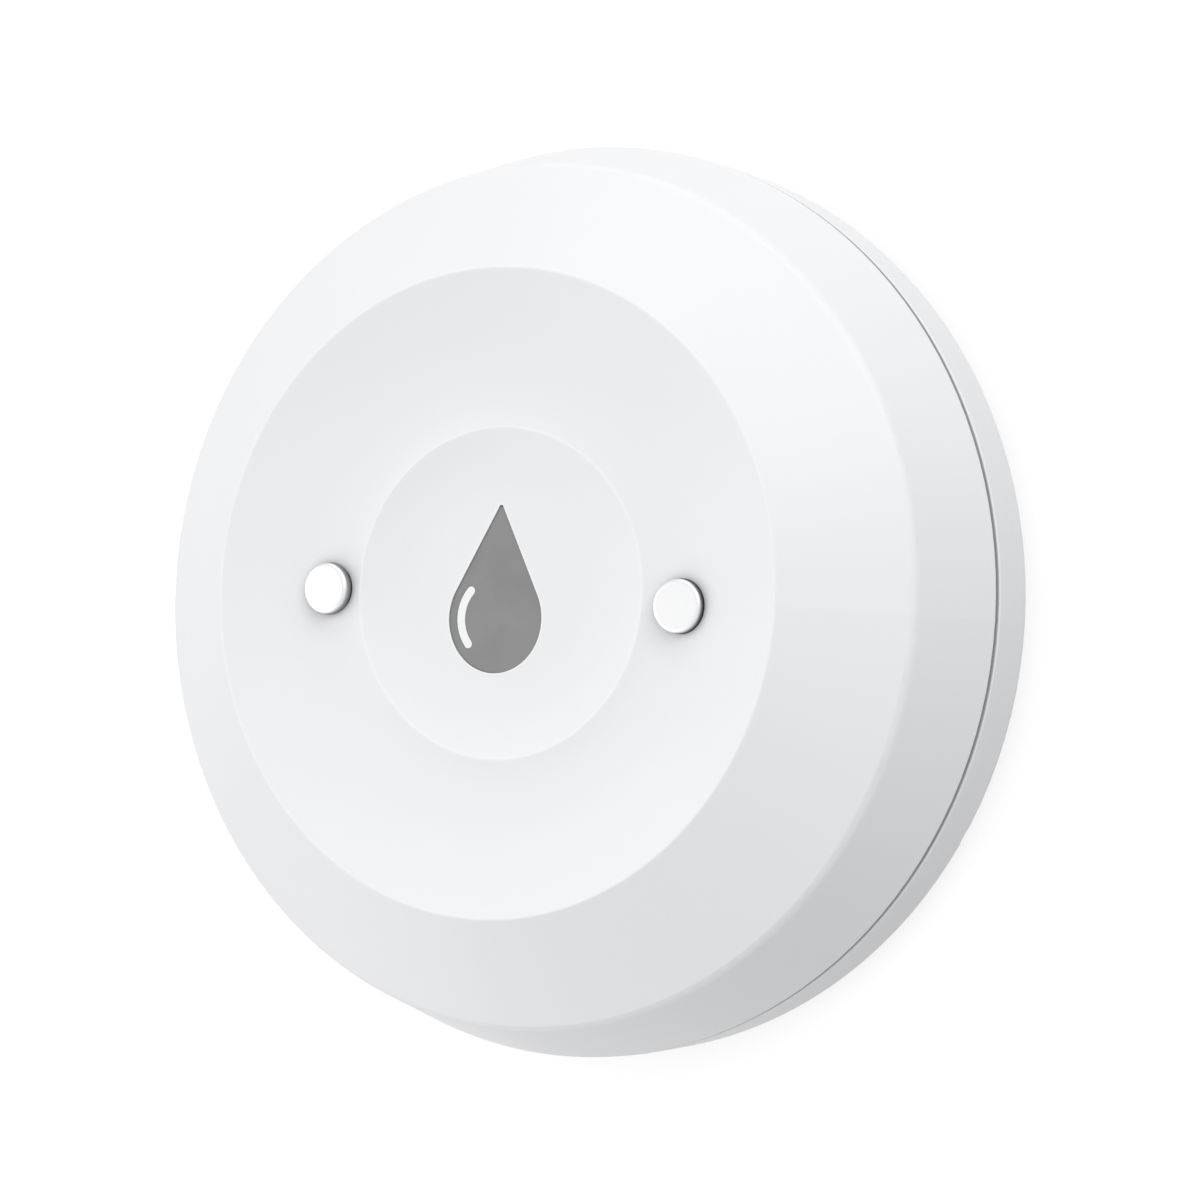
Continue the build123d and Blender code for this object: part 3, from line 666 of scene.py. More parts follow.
@dataclass
class Strips:
    """Flat strips that follow paths over the board, such as tracks and printed lines."""

    name: str  # name of the piece
    finish: Finish  # finish of the strips
    width_mm: float  # width of a strip
    bottom: float  # height of the board's face in metres
    rise_mm: float  # how far the strips stand above it
    sunk_mm: float = 0.02  # how far they reach into it
    corner_mm: float = 0.3  # radius at their corners
    body: Body = Body.BASE  # body that carries them
    points: list[Vector] = field(default_factory=list)  # places that the paths pass, in metres
    edges: list[tuple[int, int]] = field(default_factory=list)  # pairs of points that are joined

    def route(self, path: list[Point], closed: bool = False) -> None:
        """Mark one strip.

        Args:
            path: Places that it passes, in millimetres.
            closed: Whether it comes back to its start.
        """
        first = len(self.points)
        height = self.bottom + (self.rise_mm - self.sunk_mm) * MM / 2
        self.points += [Vector((x * MM, y * MM, height)) for x, y in path]
        self.edges += [(number, number + 1) for number in range(first, len(self.points) - 1)]
        if closed:
            self.edges.append((len(self.points) - 1, first))

    def build(self) -> None:
        """Make all the strips as one plain mesh."""
        piece = new_piece(self.name, self.points, self.edges)
        recipe = GeometryRecipe(self.name + "_strips", {
            "Width": self.width_mm * MM,
            "Thickness": (self.rise_mm + self.sunk_mm) * MM,
            "Corner": self.corner_mm * MM,
        })
        sheet, given = recipe.sheet, recipe.given
        path = sheet.add("GeometryNodeMeshToCurve", {"Mesh": given["Geometry"]})
        bent = sheet.add("GeometryNodeFilletCurve", {"Curve": path.outputs[0], "Radius": given["Corner"],
                                                     "Limit Radius": True, "Count": CORNER_STEPS},
                         mode="POLY")
        level = sheet.add("GeometryNodeSetCurveNormal", {"Curve": bent.outputs[0]}, mode="Z_UP")
        section = sheet.add("GeometryNodeCurvePrimitiveQuadrilateral", {"Width": given["Width"],
                                                                        "Height": given["Thickness"]})
        strip = sheet.add("GeometryNodeCurveToMesh", {
            "Curve": level.outputs[0],
            "Profile Curve": section.outputs[0],
            "Fill Caps": True,
        })
        recipe.close(strip.outputs[0], False)
        recipe.run(piece, self.finish, self.body)


# Where the turned pieces stand: their distance from a middle point, and that point.
DRIP_PROBES_MM = ((15.25, 0.0), (0.25, -0.3))
FLOOR_PROBES_MM = ((12.728, 12.728),)
BOARD_SCREWS_MM = ((23.117, 8.414),)
CELL_MM = ((0.0, 0.0), (0.0, -14.0))

# The shell gets painted shade in its gaps, at the seam and round the probes, and a painted highlight along its
# rim, ridge and seam edges.
SHELL = EdgeHighlightFinish("shell_white", (0.893, 0.9, 0.916), (0.88, 0.888, 0.905), 0.4, 0.48, grain(0.12, 24.0),
                    0.0015, crevice=0.16, crevice_mm=1.3,
                    edges_mm=((23.9, 20.588), (12.27, 18.632), (35.0, 6.905)))
WINDOW = Finish("window_grey", (0.235, 0.235, 0.237), (0.262, 0.262, 0.264), 0.3, 0.42, grain(0.2, 3.5), 0.0008,
                coat=0.2)
GUIDE = Finish("guide_white", (0.97, 0.975, 0.98), (0.94, 0.95, 0.955), 0.22, 0.34, grain(0.25, 2.0), 0.0006,
               coat=0.3)
# The probe heads get painted shade on their sides near the shell.
PROBE = Finish("probe_steel", (0.815, 0.817, 0.825), (0.77, 0.772, 0.78), 0.36, 0.46,
               rings(0.07, *DRIP_PROBES_MM), 0.0006, metal=True, crevice=0.1, crevice_mm=2.0,
               crevice_open=0.4, unshaded_open=0.95)
FLOOR_PROBE = Finish("floor_probe_steel", (0.9, 0.9, 0.905), (0.86, 0.86, 0.865), 0.16, 0.3,
                     rings(0.07, *FLOOR_PROBES_MM), 0.0006, metal=True)
SEAL = Finish("seal_rubber", (0.03, 0.03, 0.032), (0.045, 0.045, 0.048), 0.5, 0.68, grain(0.1, 5.0), 0.003)
FOOT = Finish("foot_rubber", (0.42, 0.42, 0.43), (0.36, 0.36, 0.37), 0.7, 0.88, grain(0.16, 3.0), 0.01)
STEEL = Finish("plain_steel", (0.66, 0.66, 0.66), (0.56, 0.56, 0.57), 0.24, 0.42,
               rings(0.09, *BOARD_SCREWS_MM), 0.001, metal=True)
NUT = Finish("plain_steel_nut", (0.66, 0.66, 0.66), (0.56, 0.56, 0.57), 0.26, 0.42,
             rings(0.12, *DRIP_PROBES_MM), 0.002, metal=True)
BRASS = Finish("contact_brass", (0.86, 0.66, 0.32), (0.78, 0.57, 0.26), 0.16, 0.32,
               rings(0.08, *DRIP_PROBES_MM), 0.001, metal=True)
POST = Finish("post_brass", (0.8, 0.6, 0.3), (0.7, 0.5, 0.24), 0.22, 0.4,
              rings(0.1, *FLOOR_PROBES_MM), 0.001, metal=True)
BOARD = Finish("board_green", (0.012, 0.14, 0.055), (0.018, 0.17, 0.07), 0.28, 0.42, weave(0.55), 0.003,
               coat=0.5)
TRACK = Finish("board_track", (0.03, 0.235, 0.1), (0.02, 0.2, 0.085), 0.24, 0.36, grain(0.3, 4.0), 0.001,
               coat=0.5, record_slot="board_green")
INK = Finish("board_ink", (0.82, 0.82, 0.8), (0.72, 0.73, 0.72), 0.6, 0.78, grain(0.06, 1.2), 0.003,
             record_slot="led_white")
MODULE = Finish("module_black", (0.012, 0.018, 0.035), (0.018, 0.026, 0.048), 0.28, 0.42, weave(0.5), 0.003,
                coat=0.4)
CELL = Finish("cell_steel", (0.74, 0.74, 0.735), (0.66, 0.66, 0.655), 0.22, 0.38, rings(0.16, *CELL_MM), 0.0015,
              metal=True)
HOLDER = Finish("holder_black", (0.022, 0.022, 0.024), (0.032, 0.032, 0.034), 0.46, 0.62, grain(0.14, 6.0),
                0.005)
NICKEL = Finish("contact_nickel", (0.74, 0.71, 0.66), (0.66, 0.63, 0.58), 0.2, 0.36, lines(0.09, 3.0), 0.001,
                metal=True)
SHIELD = Finish("shield_tin", (0.7, 0.7, 0.705), (0.6, 0.6, 0.61), 0.26, 0.46, lines(0.12, 2.5), 0.0015,
                metal=True)
SOLDER = Finish("solder_tin", (0.72, 0.72, 0.73), (0.6, 0.6, 0.62), 0.16, 0.34, grain(0.12, 0.8), metal=True,
                record_slot="shield_tin")
COPPER = Finish("track_copper", (0.86, 0.6, 0.33), (0.78, 0.52, 0.27), 0.2, 0.36, grain(0.1, 1.5), 0.002,
                metal=True)
LED = SplitFinish("led_white", (0.84, 0.84, 0.82), (0.78, 0.78, 0.76), 0.3, 0.45, grain(0.1, 1.0), 0.001,
                  centre_mm=7.62, one_side=True, other=(0.85, 0.72, 0.28), other_metal=False)
SWITCH = SplitFinish("switch_black", (0.03, 0.03, 0.032), (0.042, 0.042, 0.044), 0.42, 0.6, grain(0.12, 3.0),
                     centre_mm=9.55, one_side=True)
BUTTON = Finish("button_grey", (0.3, 0.3, 0.31), (0.25, 0.25, 0.26), 0.4, 0.55, grain(0.12, 2.0))
CHIP = SplitFinish("chip_black", (0.025, 0.025, 0.027), (0.04, 0.04, 0.042), 0.5, 0.68, grain(0.07, 1.5),
                   axis=1, centre_mm=10.065, half_mm=1.97)
CAPACITOR = Finish("capacitor_tan", (0.62, 0.4, 0.1), (0.54, 0.34, 0.08), 0.4, 0.55, grain(0.1, 2.0), 0.003)
RESISTOR = Finish("resistor_black", (0.02, 0.02, 0.023), (0.035, 0.035, 0.038), 0.22, 0.36, grain(0.06, 0.6),
                  0.002)


@dataclass
class UpperHousing:
    """Dished white housing with its drop window and its two drip probes."""

    belly_mm: float = 4.03  # radius of the drop's round end
    belly_place_mm: float = -1.9  # place of the middle of the round end along Y
    tip_mm: float = 0.25  # radius of the drop's tip
    tip_place_mm: float = 6.2  # place of the middle of the tip along Y
    recess_mm: float = 0.1  # depth of the window under the bowl
    rim_mm: float = 0.15  # width of the painted highlight line round the window
    rim_spread_mm: float = 0.1  # distance of the line's middle from the window's edge
    rim_rise_mm: float = 0.012  # height of the line over the bowl
    rim_sunk_mm: float = 0.07  # depth that the line reaches into the bowl

    def drop_path(self, centre_x_mm: float) -> list[Point]:
        """Points along the painted highlight line round the drop.

        Args:
            centre_x_mm: Place of the drop's middle line along X.

        Returns:
            Points in millimetres, in order.
        """
        sine = (self.belly_mm - self.tip_mm) / (self.tip_place_mm - self.belly_place_mm)
        lean = math.asin(sine)
        belly = self.belly_mm + self.rim_spread_mm
        tip_place = self.tip_place_mm + self.rim_spread_mm / sine
        path = []
        for radius, place, start, sweep, steps in (
            (belly, self.belly_place_mm, math.pi - lean, math.pi + 2 * lean, BELLY_STEPS),
            (self.tip_mm, tip_place, lean, math.pi - 2 * lean, TIP_STEPS),
        ):
            for step in range(steps + 1):
                turn = start + sweep * step / steps
                path.append((centre_x_mm + radius * math.cos(turn), place + radius * math.sin(turn)))
        return path

    def build(self) -> None:
        """Lay the painted highlight line round the drop, and dress the housing and all that it carries."""
        low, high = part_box("drop_window")
        # A white strip round the drop window: a painted highlight where the edge of the opening catches light.
        line = Strips("window_highlight_line", GUIDE, self.rim_mm, high.z + self.recess_mm * MM, self.rim_rise_mm,
                      self.rim_sunk_mm, 0.0, Body.HOUSING)
        line.route(self.drop_path(middle((low, high)).x / MM), closed=True)
        line.build()
        dress({
            "top_shell": SHELL,
            "drop_window": WINDOW,
            "light_guide": GUIDE,
            "drip_probes": PROBE,
            "drip_probe_seals": SEAL,
            "drip_probe_washers": NUT,
            "drip_probe_nuts": NUT,
        }, Body.HOUSING)


@dataclass
class BaseCover:
    """White base with its feet, its floor probes and the seal ring."""

    def build(self) -> None:
        """Dress the base and what is fixed under the board."""
        dress({
            "base_cover": SHELL,
            "rubber_feet": FOOT,
            "floor_probes": FLOOR_PROBE,
            "floor_probe_seals": SEAL,
            "floor_probe_posts": POST,
        })
        dress({"seal_ring": SEAL}, Body.SEAL)


@dataclass
class CircuitBoard:
    """Round board with its screws, tracks, plated holes and printed lines."""

    signal_width_mm: float = 0.3  # width of a signal track
    power_width_mm: float = 0.9  # width of a battery track
    power_corner_mm: float = 0.8  # radius at the corners of a battery track
    track_rise_mm: float = 0.035  # height of the tracks over the board
    rim_inset_mm: float = 0.9  # distance of the ring track from the board's edge
    ink_width_mm: float = 0.16  # width of a printed line
    ink_corner_mm: float = 0.4  # radius at the corners of a printed line
    ink_rise_mm: float = 0.05  # height of the printed lines over the board
    module_margin_mm: Point = (1.4, 1.4)  # room that the module's outline leaves, both sides together
    switch_margin_mm: Point = (2.6, 2.6)  # the same for the pairing switch
    capacitor_margin_mm: Point = (1.2, 1.8)  # the same for a capacitor, along X and Y
    chip_gap_mm: float = 0.5  # distance of the chip's side lines from its toes
    chip_inset_mm: float = 1.0  # how much shorter than the chip the lines are at each end
    hole_mm: Size = (0.75, 0.75, 0.35)  # size of a plated hole
    rim_mm: Size = (4.9, 4.9, 0.5)  # size of a ring round a screw
    spot_mm: Size = (1.1, 1.1, 0.08)  # size of a bare round spot

    def signal_paths(self) -> list[list[Point]]:
        """List the routes of the signal tracks.

        Returns:
            Places that each track passes, in millimetres.
        """
        paths = [
            [(-15.25, 1.9), (-15.25, 3.4), (-12.4, 6.25), (-5.2, 6.25)],
            [(15.25, 1.9), (15.25, 3.3), (16.83, 4.9), (16.83, 6.6)],
            [(-20.8, 1.9), (-20.8, 5.0), (-19.0, 6.9)],
            [(20.8, 1.9), (20.8, 6.6), (18.4, 9.0)],
            [(-1.3, 5.8), (-1.3, 3.1)],
            [(1.3, 5.8), (0.5, 5.0), (0.5, 3.1)],
            [(3.9, 5.8), (3.9, 4.0), (8.6, 4.0), (9.6, 5.0)],
            [(-12.3, 8.6), (-6.6, 8.6), (-5.6, 9.6), (-5.6, 10.6)],
            [(12.9, 13.4), (12.9, 14.6), (9.8, 17.7)],
            [(14.3, 13.4), (14.3, 15.2), (9.8, 19.7)],
            [(15.6, 13.4), (15.6, 15.9), (9.8, 21.7)],
            [(9.7, 6.4), (8.4, 7.7), (8.4, 9.2), (7.2, 10.4)],
        ]
        paths += [[(x, 8.1), (x, 10.6)] for x in (-3.9, -1.3, 1.3, 3.9)]
        paths += [[(-12.6, y), (-9.8, y)] for y in (11.9, 12.9, 13.9)]
        paths += [[(-17.4, 13.6), (-17.4, 15.4), (-12.2, 20.6), (-9.8, 20.6)]]
        return paths

    def power_paths(self) -> list[list[Point]]:
        """List the routes of the battery tracks.

        Returns:
            Places that each track passes, in millimetres.
        """
        return [
            [(-20.8, -1.9), (-20.8, -6.0), (-17.2, -9.6), (-16.2, -12.6)],
            [(20.8, -1.9), (20.8, -4.2), (19.2, -5.8), (13.6, -5.6)],
            [(16.2, -12.6), (18.0, -9.4), (22.6, -4.8), (22.6, 3.9)],
        ]

    def outline(self, box: Box, margin_mm: Point) -> list[Point]:
        """Corners of a printed outline round a part of the board.

        Args:
            box: Lowest and highest corner of the part, in metres.
            margin_mm: Room that it leaves along X and Y, both sides taken together.

        Returns:
            Corners in millimetres, in order.
        """
        centre = middle(box) / MM
        size = (box[1] - box[0]) / MM
        return [(centre.x + a * (size.x + margin_mm[0]) / 2, centre.y + b * (size.y + margin_mm[1]) / 2)
                for a, b in ((-1, -1), (1, -1), (1, 1), (-1, 1))]

    def build(self) -> None:
        """Dress the board and add what is printed and plated on it."""
        dress({"circuit_board": BOARD, "board_screws": STEEL})
        low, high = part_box("circuit_board")
        top = high.z
        reach = (high.x - low.x) / 2 / MM - self.rim_inset_mm
        signals = Strips("board_tracks", TRACK, self.signal_width_mm, top, self.track_rise_mm)
        for path in self.signal_paths():
            signals.route(path)
        signals.build()
        power = Strips("power_tracks", TRACK, self.power_width_mm, top, self.track_rise_mm,
                       corner_mm=self.power_corner_mm)
        for path in self.power_paths():
            power.route(path)
        turns = [2 * math.pi * step / ROUND_STEPS for step in range(ROUND_STEPS)]
        power.route([(reach * math.cos(turn), reach * math.sin(turn)) for turn in turns], closed=True)
        power.build()
        self.printed_lines(top)
        self.plated_holes(top)

    def printed_lines(self, top: float) -> None:
        """Add the printed outlines and the side lines of the chip.

        Args:
            top: Height of the board's face in metres.
        """
        ink = Strips("board_outlines", INK, self.ink_width_mm, top, self.ink_rise_mm,
                     corner_mm=self.ink_corner_mm)
        for box, margin_mm in (
            (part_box("pairing_switch"), self.switch_margin_mm),
            (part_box("radio_module"), self.module_margin_mm),
            *((box, self.capacitor_margin_mm) for box in solid_boxes("capacitors")),
        ):
            ink.route(self.outline(box, margin_mm), closed=True)
        low, high = (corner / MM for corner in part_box("sensing_chip"))
        for x in (low.x - self.chip_gap_mm, high.x + self.chip_gap_mm):
            ink.route([(x, low.y + self.chip_inset_mm), (x, high.y - self.chip_inset_mm)])
        ink.build()

    def plated_holes(self, top: float) -> None:
        """Add plated holes at the track ends, rings round the screws and bare round spots.

        Args:
            top: Height of the board's face in metres.
        """
        holes = ((-5.2, 6.25), (-19.0, 6.9), (18.4, 9.0), (9.6, 5.0), (-12.3, 8.6), (22.6, 3.9),
                 (-24.6, -4.0), (-24.8, -2.2), (24.6, -4.0), (24.8, -2.2), (-23.4, 3.4), (24.4, 4.4),
                 (-8.4, 3.2), (-6.2, 3.2), (7.0, 1.6), (7.0, -0.2), (-7.4, 0.4), (-12.2, 20.6))
        spots = ((-25.2, 1.4), (25.2, 1.4), (0.0, -0.9), (-9.6, 24.6), (10.4, 24.2))
        for repeat, size_mm, places in (
            (Repeat("board_holes", Form.RING, COPPER, sides=24, wire_share=0.24), self.hole_mm,
             [(x * MM, y * MM) for x, y in holes]),
            (Repeat("screw_rings", Form.RING, COPPER, sides=48, wire_share=0.1), self.rim_mm,
             [middle(box).xy for box in solid_boxes("board_screws")]),
            (Repeat("board_spots", Form.DOME, COPPER, sides=24), self.spot_mm,
             [(x * MM, y * MM) for x, y in spots]),
        ):
            for place in places:
                repeat.put(Vector((*place, top)), size_mm)
            repeat.build()


@dataclass
class RadioModule:
    """Small radio board with its can, its antenna and plated half holes along its edges."""

    pitch_mm: float = 1.27  # distance between the half holes
    side_count: int = 9  # half holes on each short side
    front_count: int = 12  # half holes on the front side
    hole_mm: float = 0.72  # width of a half hole
    plating_mm: float = 0.03  # how much higher than the board its plating is
    inset_mm: float = 0.12  # distance of a half hole's middle inside the edge
    outset_mm: float = 0.3  # distance of a joint's middle outside the edge
    joint_mm: Size = (0.95, 0.7, 0.5)  # length across the edge, width and height of a joint
    bead_mm: Size = (2.2, 0.7, 0.5)  # length along the can, width and height of a bead of its solder
    side_bead_mm: float = 2.0  # length of a bead on the can's short sides
    bead_share: float = 0.3  # place of the beads, as a share of the can's side from its middle

    def build(self) -> None:
        """Dress the module and solder its edge to the board."""
        dress({"radio_module": MODULE, "radio_shield": SHIELD, "antenna": COPPER})
        low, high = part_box("radio_module")
        centre = middle((low, high))
        plating = Repeat("module_half_holes", Form.BARREL, COPPER, sides=16)
        joints = Repeat("module_joints", Form.DOME, SOLDER, sides=12)
        size = (self.hole_mm, self.hole_mm, (high.z - low.z) / MM + self.plating_mm)
        length, width, height = self.joint_mm
        inset, outset = self.inset_mm * MM, self.outset_mm * MM
        for number in range(self.side_count):
            y = centre.y + (number - (self.side_count - 1) / 2) * self.pitch_mm * MM
            for side, x in ((-1, low.x), (1, high.x)):
                plating.put(Vector((x - side * inset, y, centre.z)), size)
                joints.put(Vector((x + side * outset, y, low.z)), self.joint_mm)
        for number in range(self.front_count):
            x = centre.x + (number - (self.front_count - 1) / 2) * self.pitch_mm * MM
            plating.put(Vector((x, low.y + inset, centre.z)), size)
            joints.put(Vector((x, low.y - outset, low.z)), (width, length, height))
        plating.build()
        joints.build()
        self.can_feet()

    def can_feet(self) -> None:
        """Add the solder along the foot of the can."""
        low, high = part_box("radio_shield")
        centre, size = middle((low, high)), high - low
        beads = Repeat("can_joints", Form.DOME, SOLDER, sides=16)
        for share in (-self.bead_share, self.bead_share):
            for side in (-0.5, 0.5):
                beads.put(Vector((centre.x + share * size.x, centre.y + side * size.y, low.z)), self.bead_mm)
                beads.put(Vector((centre.x + side * size.x, centre.y + share * size.y, low.z)),
                          (self.bead_mm[1], self.side_bead_mm, self.bead_mm[2]))
        beads.build()


@dataclass
class CoinCell:
    """Coin cell, its tray, its sheet metal contacts and their soldered feet."""

    clip_joint_mm: Size = (1.9, 5.6, 0.7)  # size of the solder at a foot of the clip
    tab_joint_mm: Size = (1.5, 4.2, 0.7)  # size of the solder at the tab of the lower contact
    tab_angle: float = 35.0  # direction of the tab from the cell's middle in degrees
    tab_reach_mm: float = 15.0  # distance of its solder from the cell's middle

    def build(self) -> None:
        """Dress the cell and its fittings, and solder the contacts down."""
        dress({
            "battery_cell": CELL,
            "battery_holder": HOLDER,
            "battery_plus_clip": NICKEL,
            "battery_minus_contact": NICKEL,
        })
        pads = Repeat("contact_joints", Form.DOME, SOLDER, sides=28)
        pads.put_at_ends("battery_plus_clip", self.clip_joint_mm)
        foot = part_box("battery_plus_clip")[0].z
        angle = math.radians(self.tab_angle)
        cell = middle(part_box("battery_cell"))
        reach = self.tab_reach_mm * MM
        pads.put(Vector((cell.x + reach * math.cos(angle), cell.y + reach * math.sin(angle), foot)),
                 self.tab_joint_mm, angle)
        pads.build()


@dataclass
class PairingSwitch:
    """Square pairing switch with its plunger, cover rivets and four legs."""

    leg_mm: Size = (1.5, 0.7, 0.28)  # size of one leg
    leg_outset_mm: float = 0.5  # distance of a leg's middle outside the switch
    leg_lift_mm: float = 0.12  # height of a leg's middle over the board
    leg_place_mm: float = 2.25  # distance of the legs from the middle along Y
    rivet_mm: Size = (0.8, 0.8, 0.24)  # size of one rivet
    rivet_place_mm: Point = (2.2, 2.205)  # distance of the rivets from the middle along X and Y

    def build(self) -> None:
        """Dress the switch and add its legs and rivets."""
        dress({"pairing_switch": SWITCH})
        dress({"pairing_button": BUTTON}, Body.PLUNGER)
        low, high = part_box("pairing_switch")
        centre = middle((low, high))
        legs = Repeat("switch_legs", Form.BLOCK, SHIELD)
        rivets = Repeat("switch_rivets", Form.DOME, HOLDER, sides=20)
        across, along = (place * MM for place in self.rivet_place_mm)
        for x, side in ((low.x, -1), (high.x, 1)):
            for end in (-1, 1):
                legs.put(Vector((x + side * self.leg_outset_mm * MM, centre.y + end * self.leg_place_mm * MM,
                                 low.z + self.leg_lift_mm * MM)), self.leg_mm)
                rivets.put(Vector((centre.x + side * across, centre.y + end * along, high.z)), self.rivet_mm)
        legs.build()
        rivets.build()


@dataclass
class SmallParts:
    """Light, sprung contacts, sensing chip, crystal, capacitors and resistors."""

    capacitor_end_mm: float = 0.75  # length of a capacitor's metal end
    resistor_end_mm: float = 0.36  # length of a resistor's metal end
    wrap_mm: float = 0.05  # thickness of the metal round an end
    end_bead_mm: float = 0.9  # length of the solder at an end
    end_bead_share: Point = (0.95, 0.7)  # width and height of that solder, as shares of the part's
    end_outset_mm: float = 0.12  # distance of its middle outside the part
    sleeve_joint_mm: Size = (4.7, 4.7, 0.55)  # size of the solder round a contact sleeve
    crystal_joint_mm: Size = (1.1, 1.9, 0.5)  # size of the solder at an end of the crystal
    led_joint_mm: Size = (1.0, 2.0, 0.5)  # size of the solder at an end of the light
    toe_joint_mm: Size = (0.62, 0.9, 0.34)  # size of the solder under a toe of the chip
    toe_pitch_mm: float = 1.27  # distance between the toes
    toe_count: int = 4  # toes on each side of the chip

    def build(self) -> None:
        """Dress the small parts and add their metal ends and solder."""
        dress({
            "contact_sleeves": BRASS,
            "sensing_chip": CHIP,
            "quartz_crystal": SHIELD,
            "indicator_led": LED,
            "capacitors": CAPACITOR,
            "resistors": RESISTOR,
        })
        dress({"contact_pin_left": BRASS}, Body.LEFT_PIN)
        dress({"contact_pin_right": BRASS}, Body.RIGHT_PIN)
        ends = Repeat("metal_ends", Form.BLOCK, SHIELD, crease=0.9)
        beads = Repeat("small_joints", Form.DOME, SOLDER, sides=16)
        self.end_caps(ends, beads, "capacitors", self.capacitor_end_mm)
        self.end_caps(ends, beads, "resistors", self.resistor_end_mm)
        low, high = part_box("sensing_chip")
        for number in range(self.toe_count):
            x = middle((low, high)).x + (number - (self.toe_count - 1) / 2) * self.toe_pitch_mm * MM
            for y in (low.y, high.y):
                beads.put(Vector((x, y, low.z)), self.toe_joint_mm)
        for box in solid_boxes("contact_sleeves"):
            centre = middle(box)
            beads.put(Vector((centre.x, centre.y, box[0].z)), self.sleeve_joint_mm)
        beads.put_at_ends("quartz_crystal", self.crystal_joint_mm)
        beads.put_at_ends("indicator_led", self.led_joint_mm)
        ends.build()
        beads.build()

    def end_caps(self, ends: Repeat, beads: Repeat, node: str, depth_mm: float) -> None:
        """Wrap both ends of each solid of a node in metal and solder them down.

        Args:
            ends: Piece that takes the metal ends.
            beads: Piece that takes the solder.
            node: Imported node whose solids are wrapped.
            depth_mm: Length of an end along Y.
        """
        wrap = self.wrap_mm
        for low, high in solid_boxes(node):
            centre = middle((low, high))
            size = (high - low) / MM
            bead_mm = (size.x * self.end_bead_share[0], self.end_bead_mm, size.z * self.end_bead_share[1])
            for side, y in ((1, low.y), (-1, high.y)):
                inside = y + side * (depth_mm / 2 - wrap) * MM
                ends.put(Vector((centre.x, inside, centre.z + wrap * MM / 2)),
                         (size.x + wrap, depth_mm, size.z + wrap))
                beads.put(Vector((centre.x, y - side * self.end_outset_mm * MM, low.z)), bead_mm)


@dataclass(frozen=True)
class Lamp:
    """One soft square lamp that shines at the sensor."""

    name: str  # name of the lamp
    azimuth: float  # its direction round the sensor in degrees, from +X towards +Y
    elevation: float  # its height over the floor in degrees
    power: float  # its power in watts
    size: float = 0.45  # its side in metres
    distance: float = 0.8  # its distance in metres

    def build(self, target: Vector) -> None:
        """Make the lamp.

        Args:
            target: Point that it shines at.
        """
        data = bpy.data.lights.new(self.name, "AREA")
        data.shape = "SQUARE"
        data.size = self.size
        data.energy = self.power
        lamp = add_object(self.name, data)
        turn, rise = math.radians(self.azimuth), math.radians(self.elevation)
        direction = Vector((math.cos(turn) * math.cos(rise), math.sin(turn) * math.cos(rise), math.sin(rise)))
        lamp.location = target + direction * self.distance
        lamp.rotation_euler = direction.to_track_quat("Z", "Y").to_euler()
        lamp.visible_camera = False


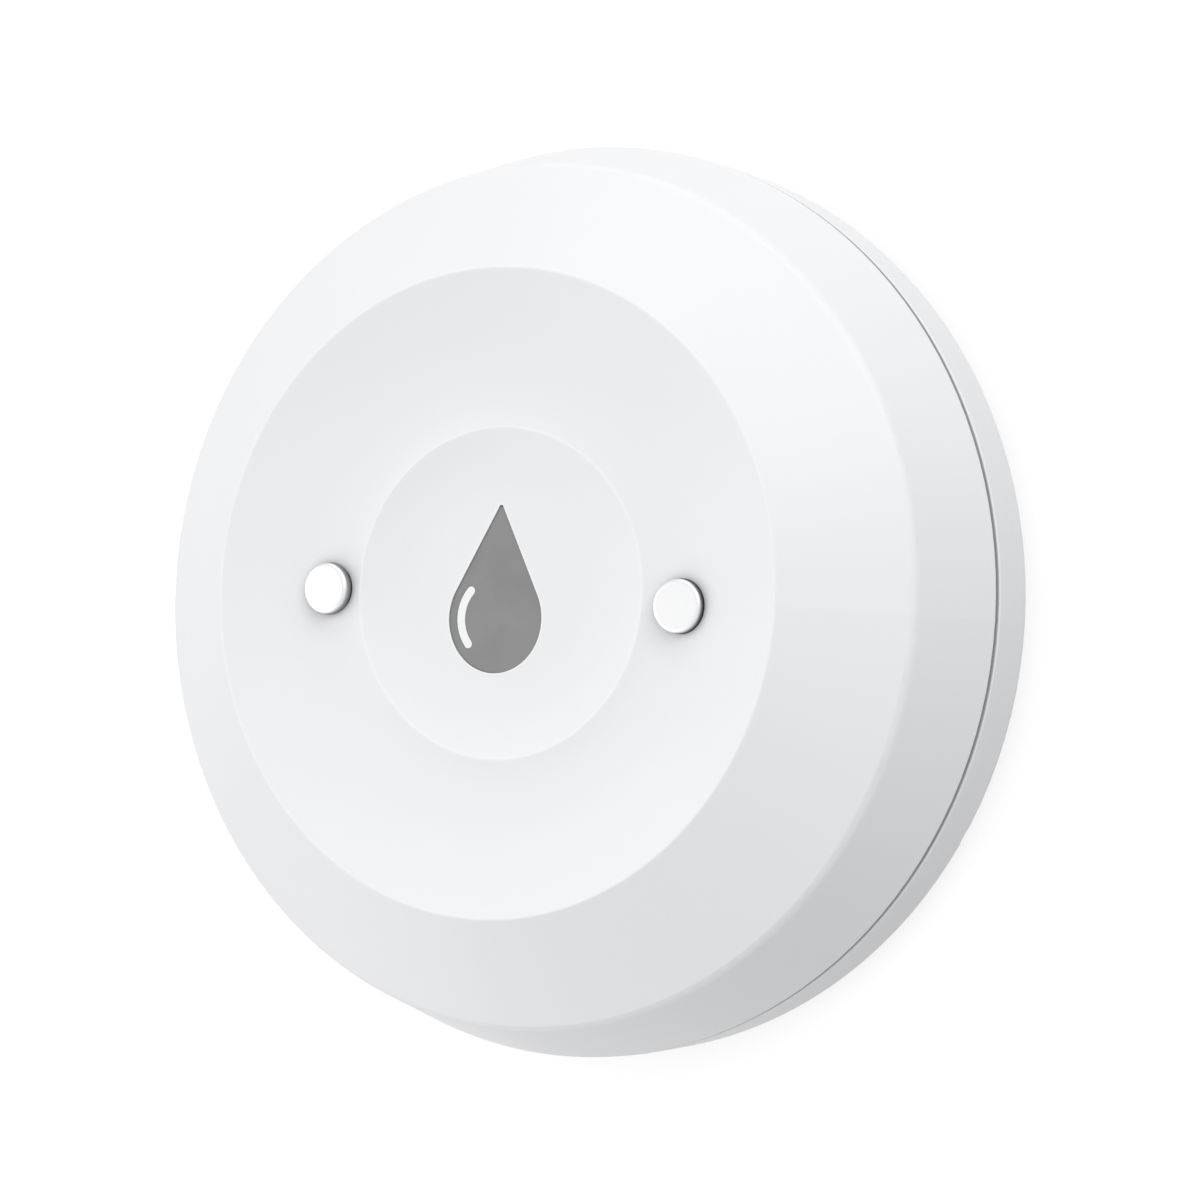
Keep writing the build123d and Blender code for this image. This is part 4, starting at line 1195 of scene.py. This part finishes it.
@dataclass
class Studio:
    """Camera, pale floor and soft light."""

    # Lamps from the far side round by the left to the near side.
    lamps: tuple[Lamp, ...] = (
        Lamp("low_back_lamp", 90.0, 14.0, 1.313),
        Lamp("low_corner_lamp", 45.0, 14.0, 1.141),
        Lamp("high_corner_lamp", 45.0, 36.0, 1.176),
        Lamp("low_left_lamp", 180.0, 14.0, 0.539),
        Lamp("high_left_lamp", 180.0, 36.0, 0.477),
        Lamp("low_near_left_lamp", 225.0, 14.0, 0.448),
        Lamp("high_near_left_lamp", 225.0, 36.0, 0.739),
        Lamp("high_near_lamp", 270.0, 36.0, 0.141),
    )
    fill: float = 0.616  # strength of the light that comes from all round
    floor_lift: float = 0.74  # light that the floor adds for the camera and in reflections
    floor_grey: float = 0.36  # share of light that the floor throws back
    floor_radius: float = 4.0  # radius of the floor in metres
    target: Size = (0.0, 0.0, 0.01)  # point that the lamps shine at
    lens: float = 90.0  # focal length of the camera, for a 36 mm wide picture
    camera_mm: Size = (117.769, -3.693, 206.019)  # place of the camera
    camera_right: Size = (0.8635, 0.05958, -0.50082)  # direction of the picture's right side
    camera_back: Size = (0.50249, -0.01637, 0.86443)  # direction from the sensor to the camera

    def seen_ray(self, sheet: Sheet) -> Socket:
        """Value that is 1 for rays of the camera, of reflections and of glass.

        Args:
            sheet: Sheet that takes the nodes.

        Returns:
            Socket with the value.
        """
        path = sheet.add("ShaderNodeLightPath").outputs
        return sheet.math("MAXIMUM", sheet.math("MAXIMUM", path["Is Camera Ray"], path["Is Glossy Ray"]),
                          path["Is Transmission Ray"])

    def world(self) -> None:
        """Set an even fill light behind a white background."""
        world = bpy.data.worlds.new("studio_air")
        world.use_nodes = True
        bpy.context.scene.world = world
        sheet = Sheet(world.node_tree)
        fill, white = (sheet.add("ShaderNodeBackground", {"Color": WHITE, "Strength": strength}).outputs[0]
                       for strength in (self.fill, 1.0))
        mix = sheet.add("ShaderNodeMixShader", {0: self.seen_ray(sheet), 1: fill, 2: white})
        sheet.add("ShaderNodeOutputWorld", {"Surface": mix.outputs[0]})

    def floor(self) -> None:
        """Lay the pale floor under the feet."""
        shape = bmesh.new()
        bmesh.ops.create_circle(shape, cap_ends=True, segments=FLOOR_STEPS, radius=self.floor_radius)
        mesh = bpy.data.meshes.new("studio_floor")
        shape.to_mesh(mesh)
        shape.free()
        material = bpy.data.materials.new("pale_floor")
        material.use_nodes = True
        sheet = Sheet(material.node_tree)
        paint = sheet.add("ShaderNodeBsdfDiffuse", {"Color": (*[self.floor_grey] * 3, 1.0)})
        lift = sheet.math("MULTIPLY", self.seen_ray(sheet), self.floor_lift)
        glow = sheet.add("ShaderNodeEmission", {"Color": WHITE, "Strength": lift})
        both = sheet.add("ShaderNodeAddShader", {0: paint.outputs[0], 1: glow.outputs[0]})
        sheet.add("ShaderNodeOutputMaterial", {"Surface": both.outputs[0]})
        mesh.materials.append(material)
        add_object("studio_floor", mesh)

    def camera(self) -> None:
        """Set the camera where the photograph was taken from."""
        data = bpy.data.cameras.new("photo_camera")
        data.lens = self.lens
        data.sensor_width = 36.0
        data.clip_start = 0.005
        camera = add_object("photo_camera", data)
        back = Vector(self.camera_back).normalized()
        up = back.cross(Vector(self.camera_right)).normalized()
        right = up.cross(back)
        turn = Matrix((right, up, back)).transposed().to_4x4()
        camera.matrix_world = Matrix.Translation(Vector(self.camera_mm) * MM) @ turn
        bpy.context.scene.camera = camera

    def build(self) -> None:
        """Set up the camera, the floor and all the light."""
        self.camera()
        self.floor()
        self.world()
        for lamp in self.lamps:
            lamp.build(Vector(self.target))
        bpy.context.scene.view_settings.view_transform = "Standard"


def main() -> None:
    """Build the studio and every sub-assembly."""
    logging.basicConfig(level=logging.INFO, format="%(message)s")
    for part in (Studio(), UpperHousing(), BaseCover(), CircuitBoard(), RadioModule(), CoinCell(),
                 PairingSwitch(), SmallParts()):
        log.info("building %s", type(part).__name__)
        part.build()


if __name__ == "__main__":
    main()
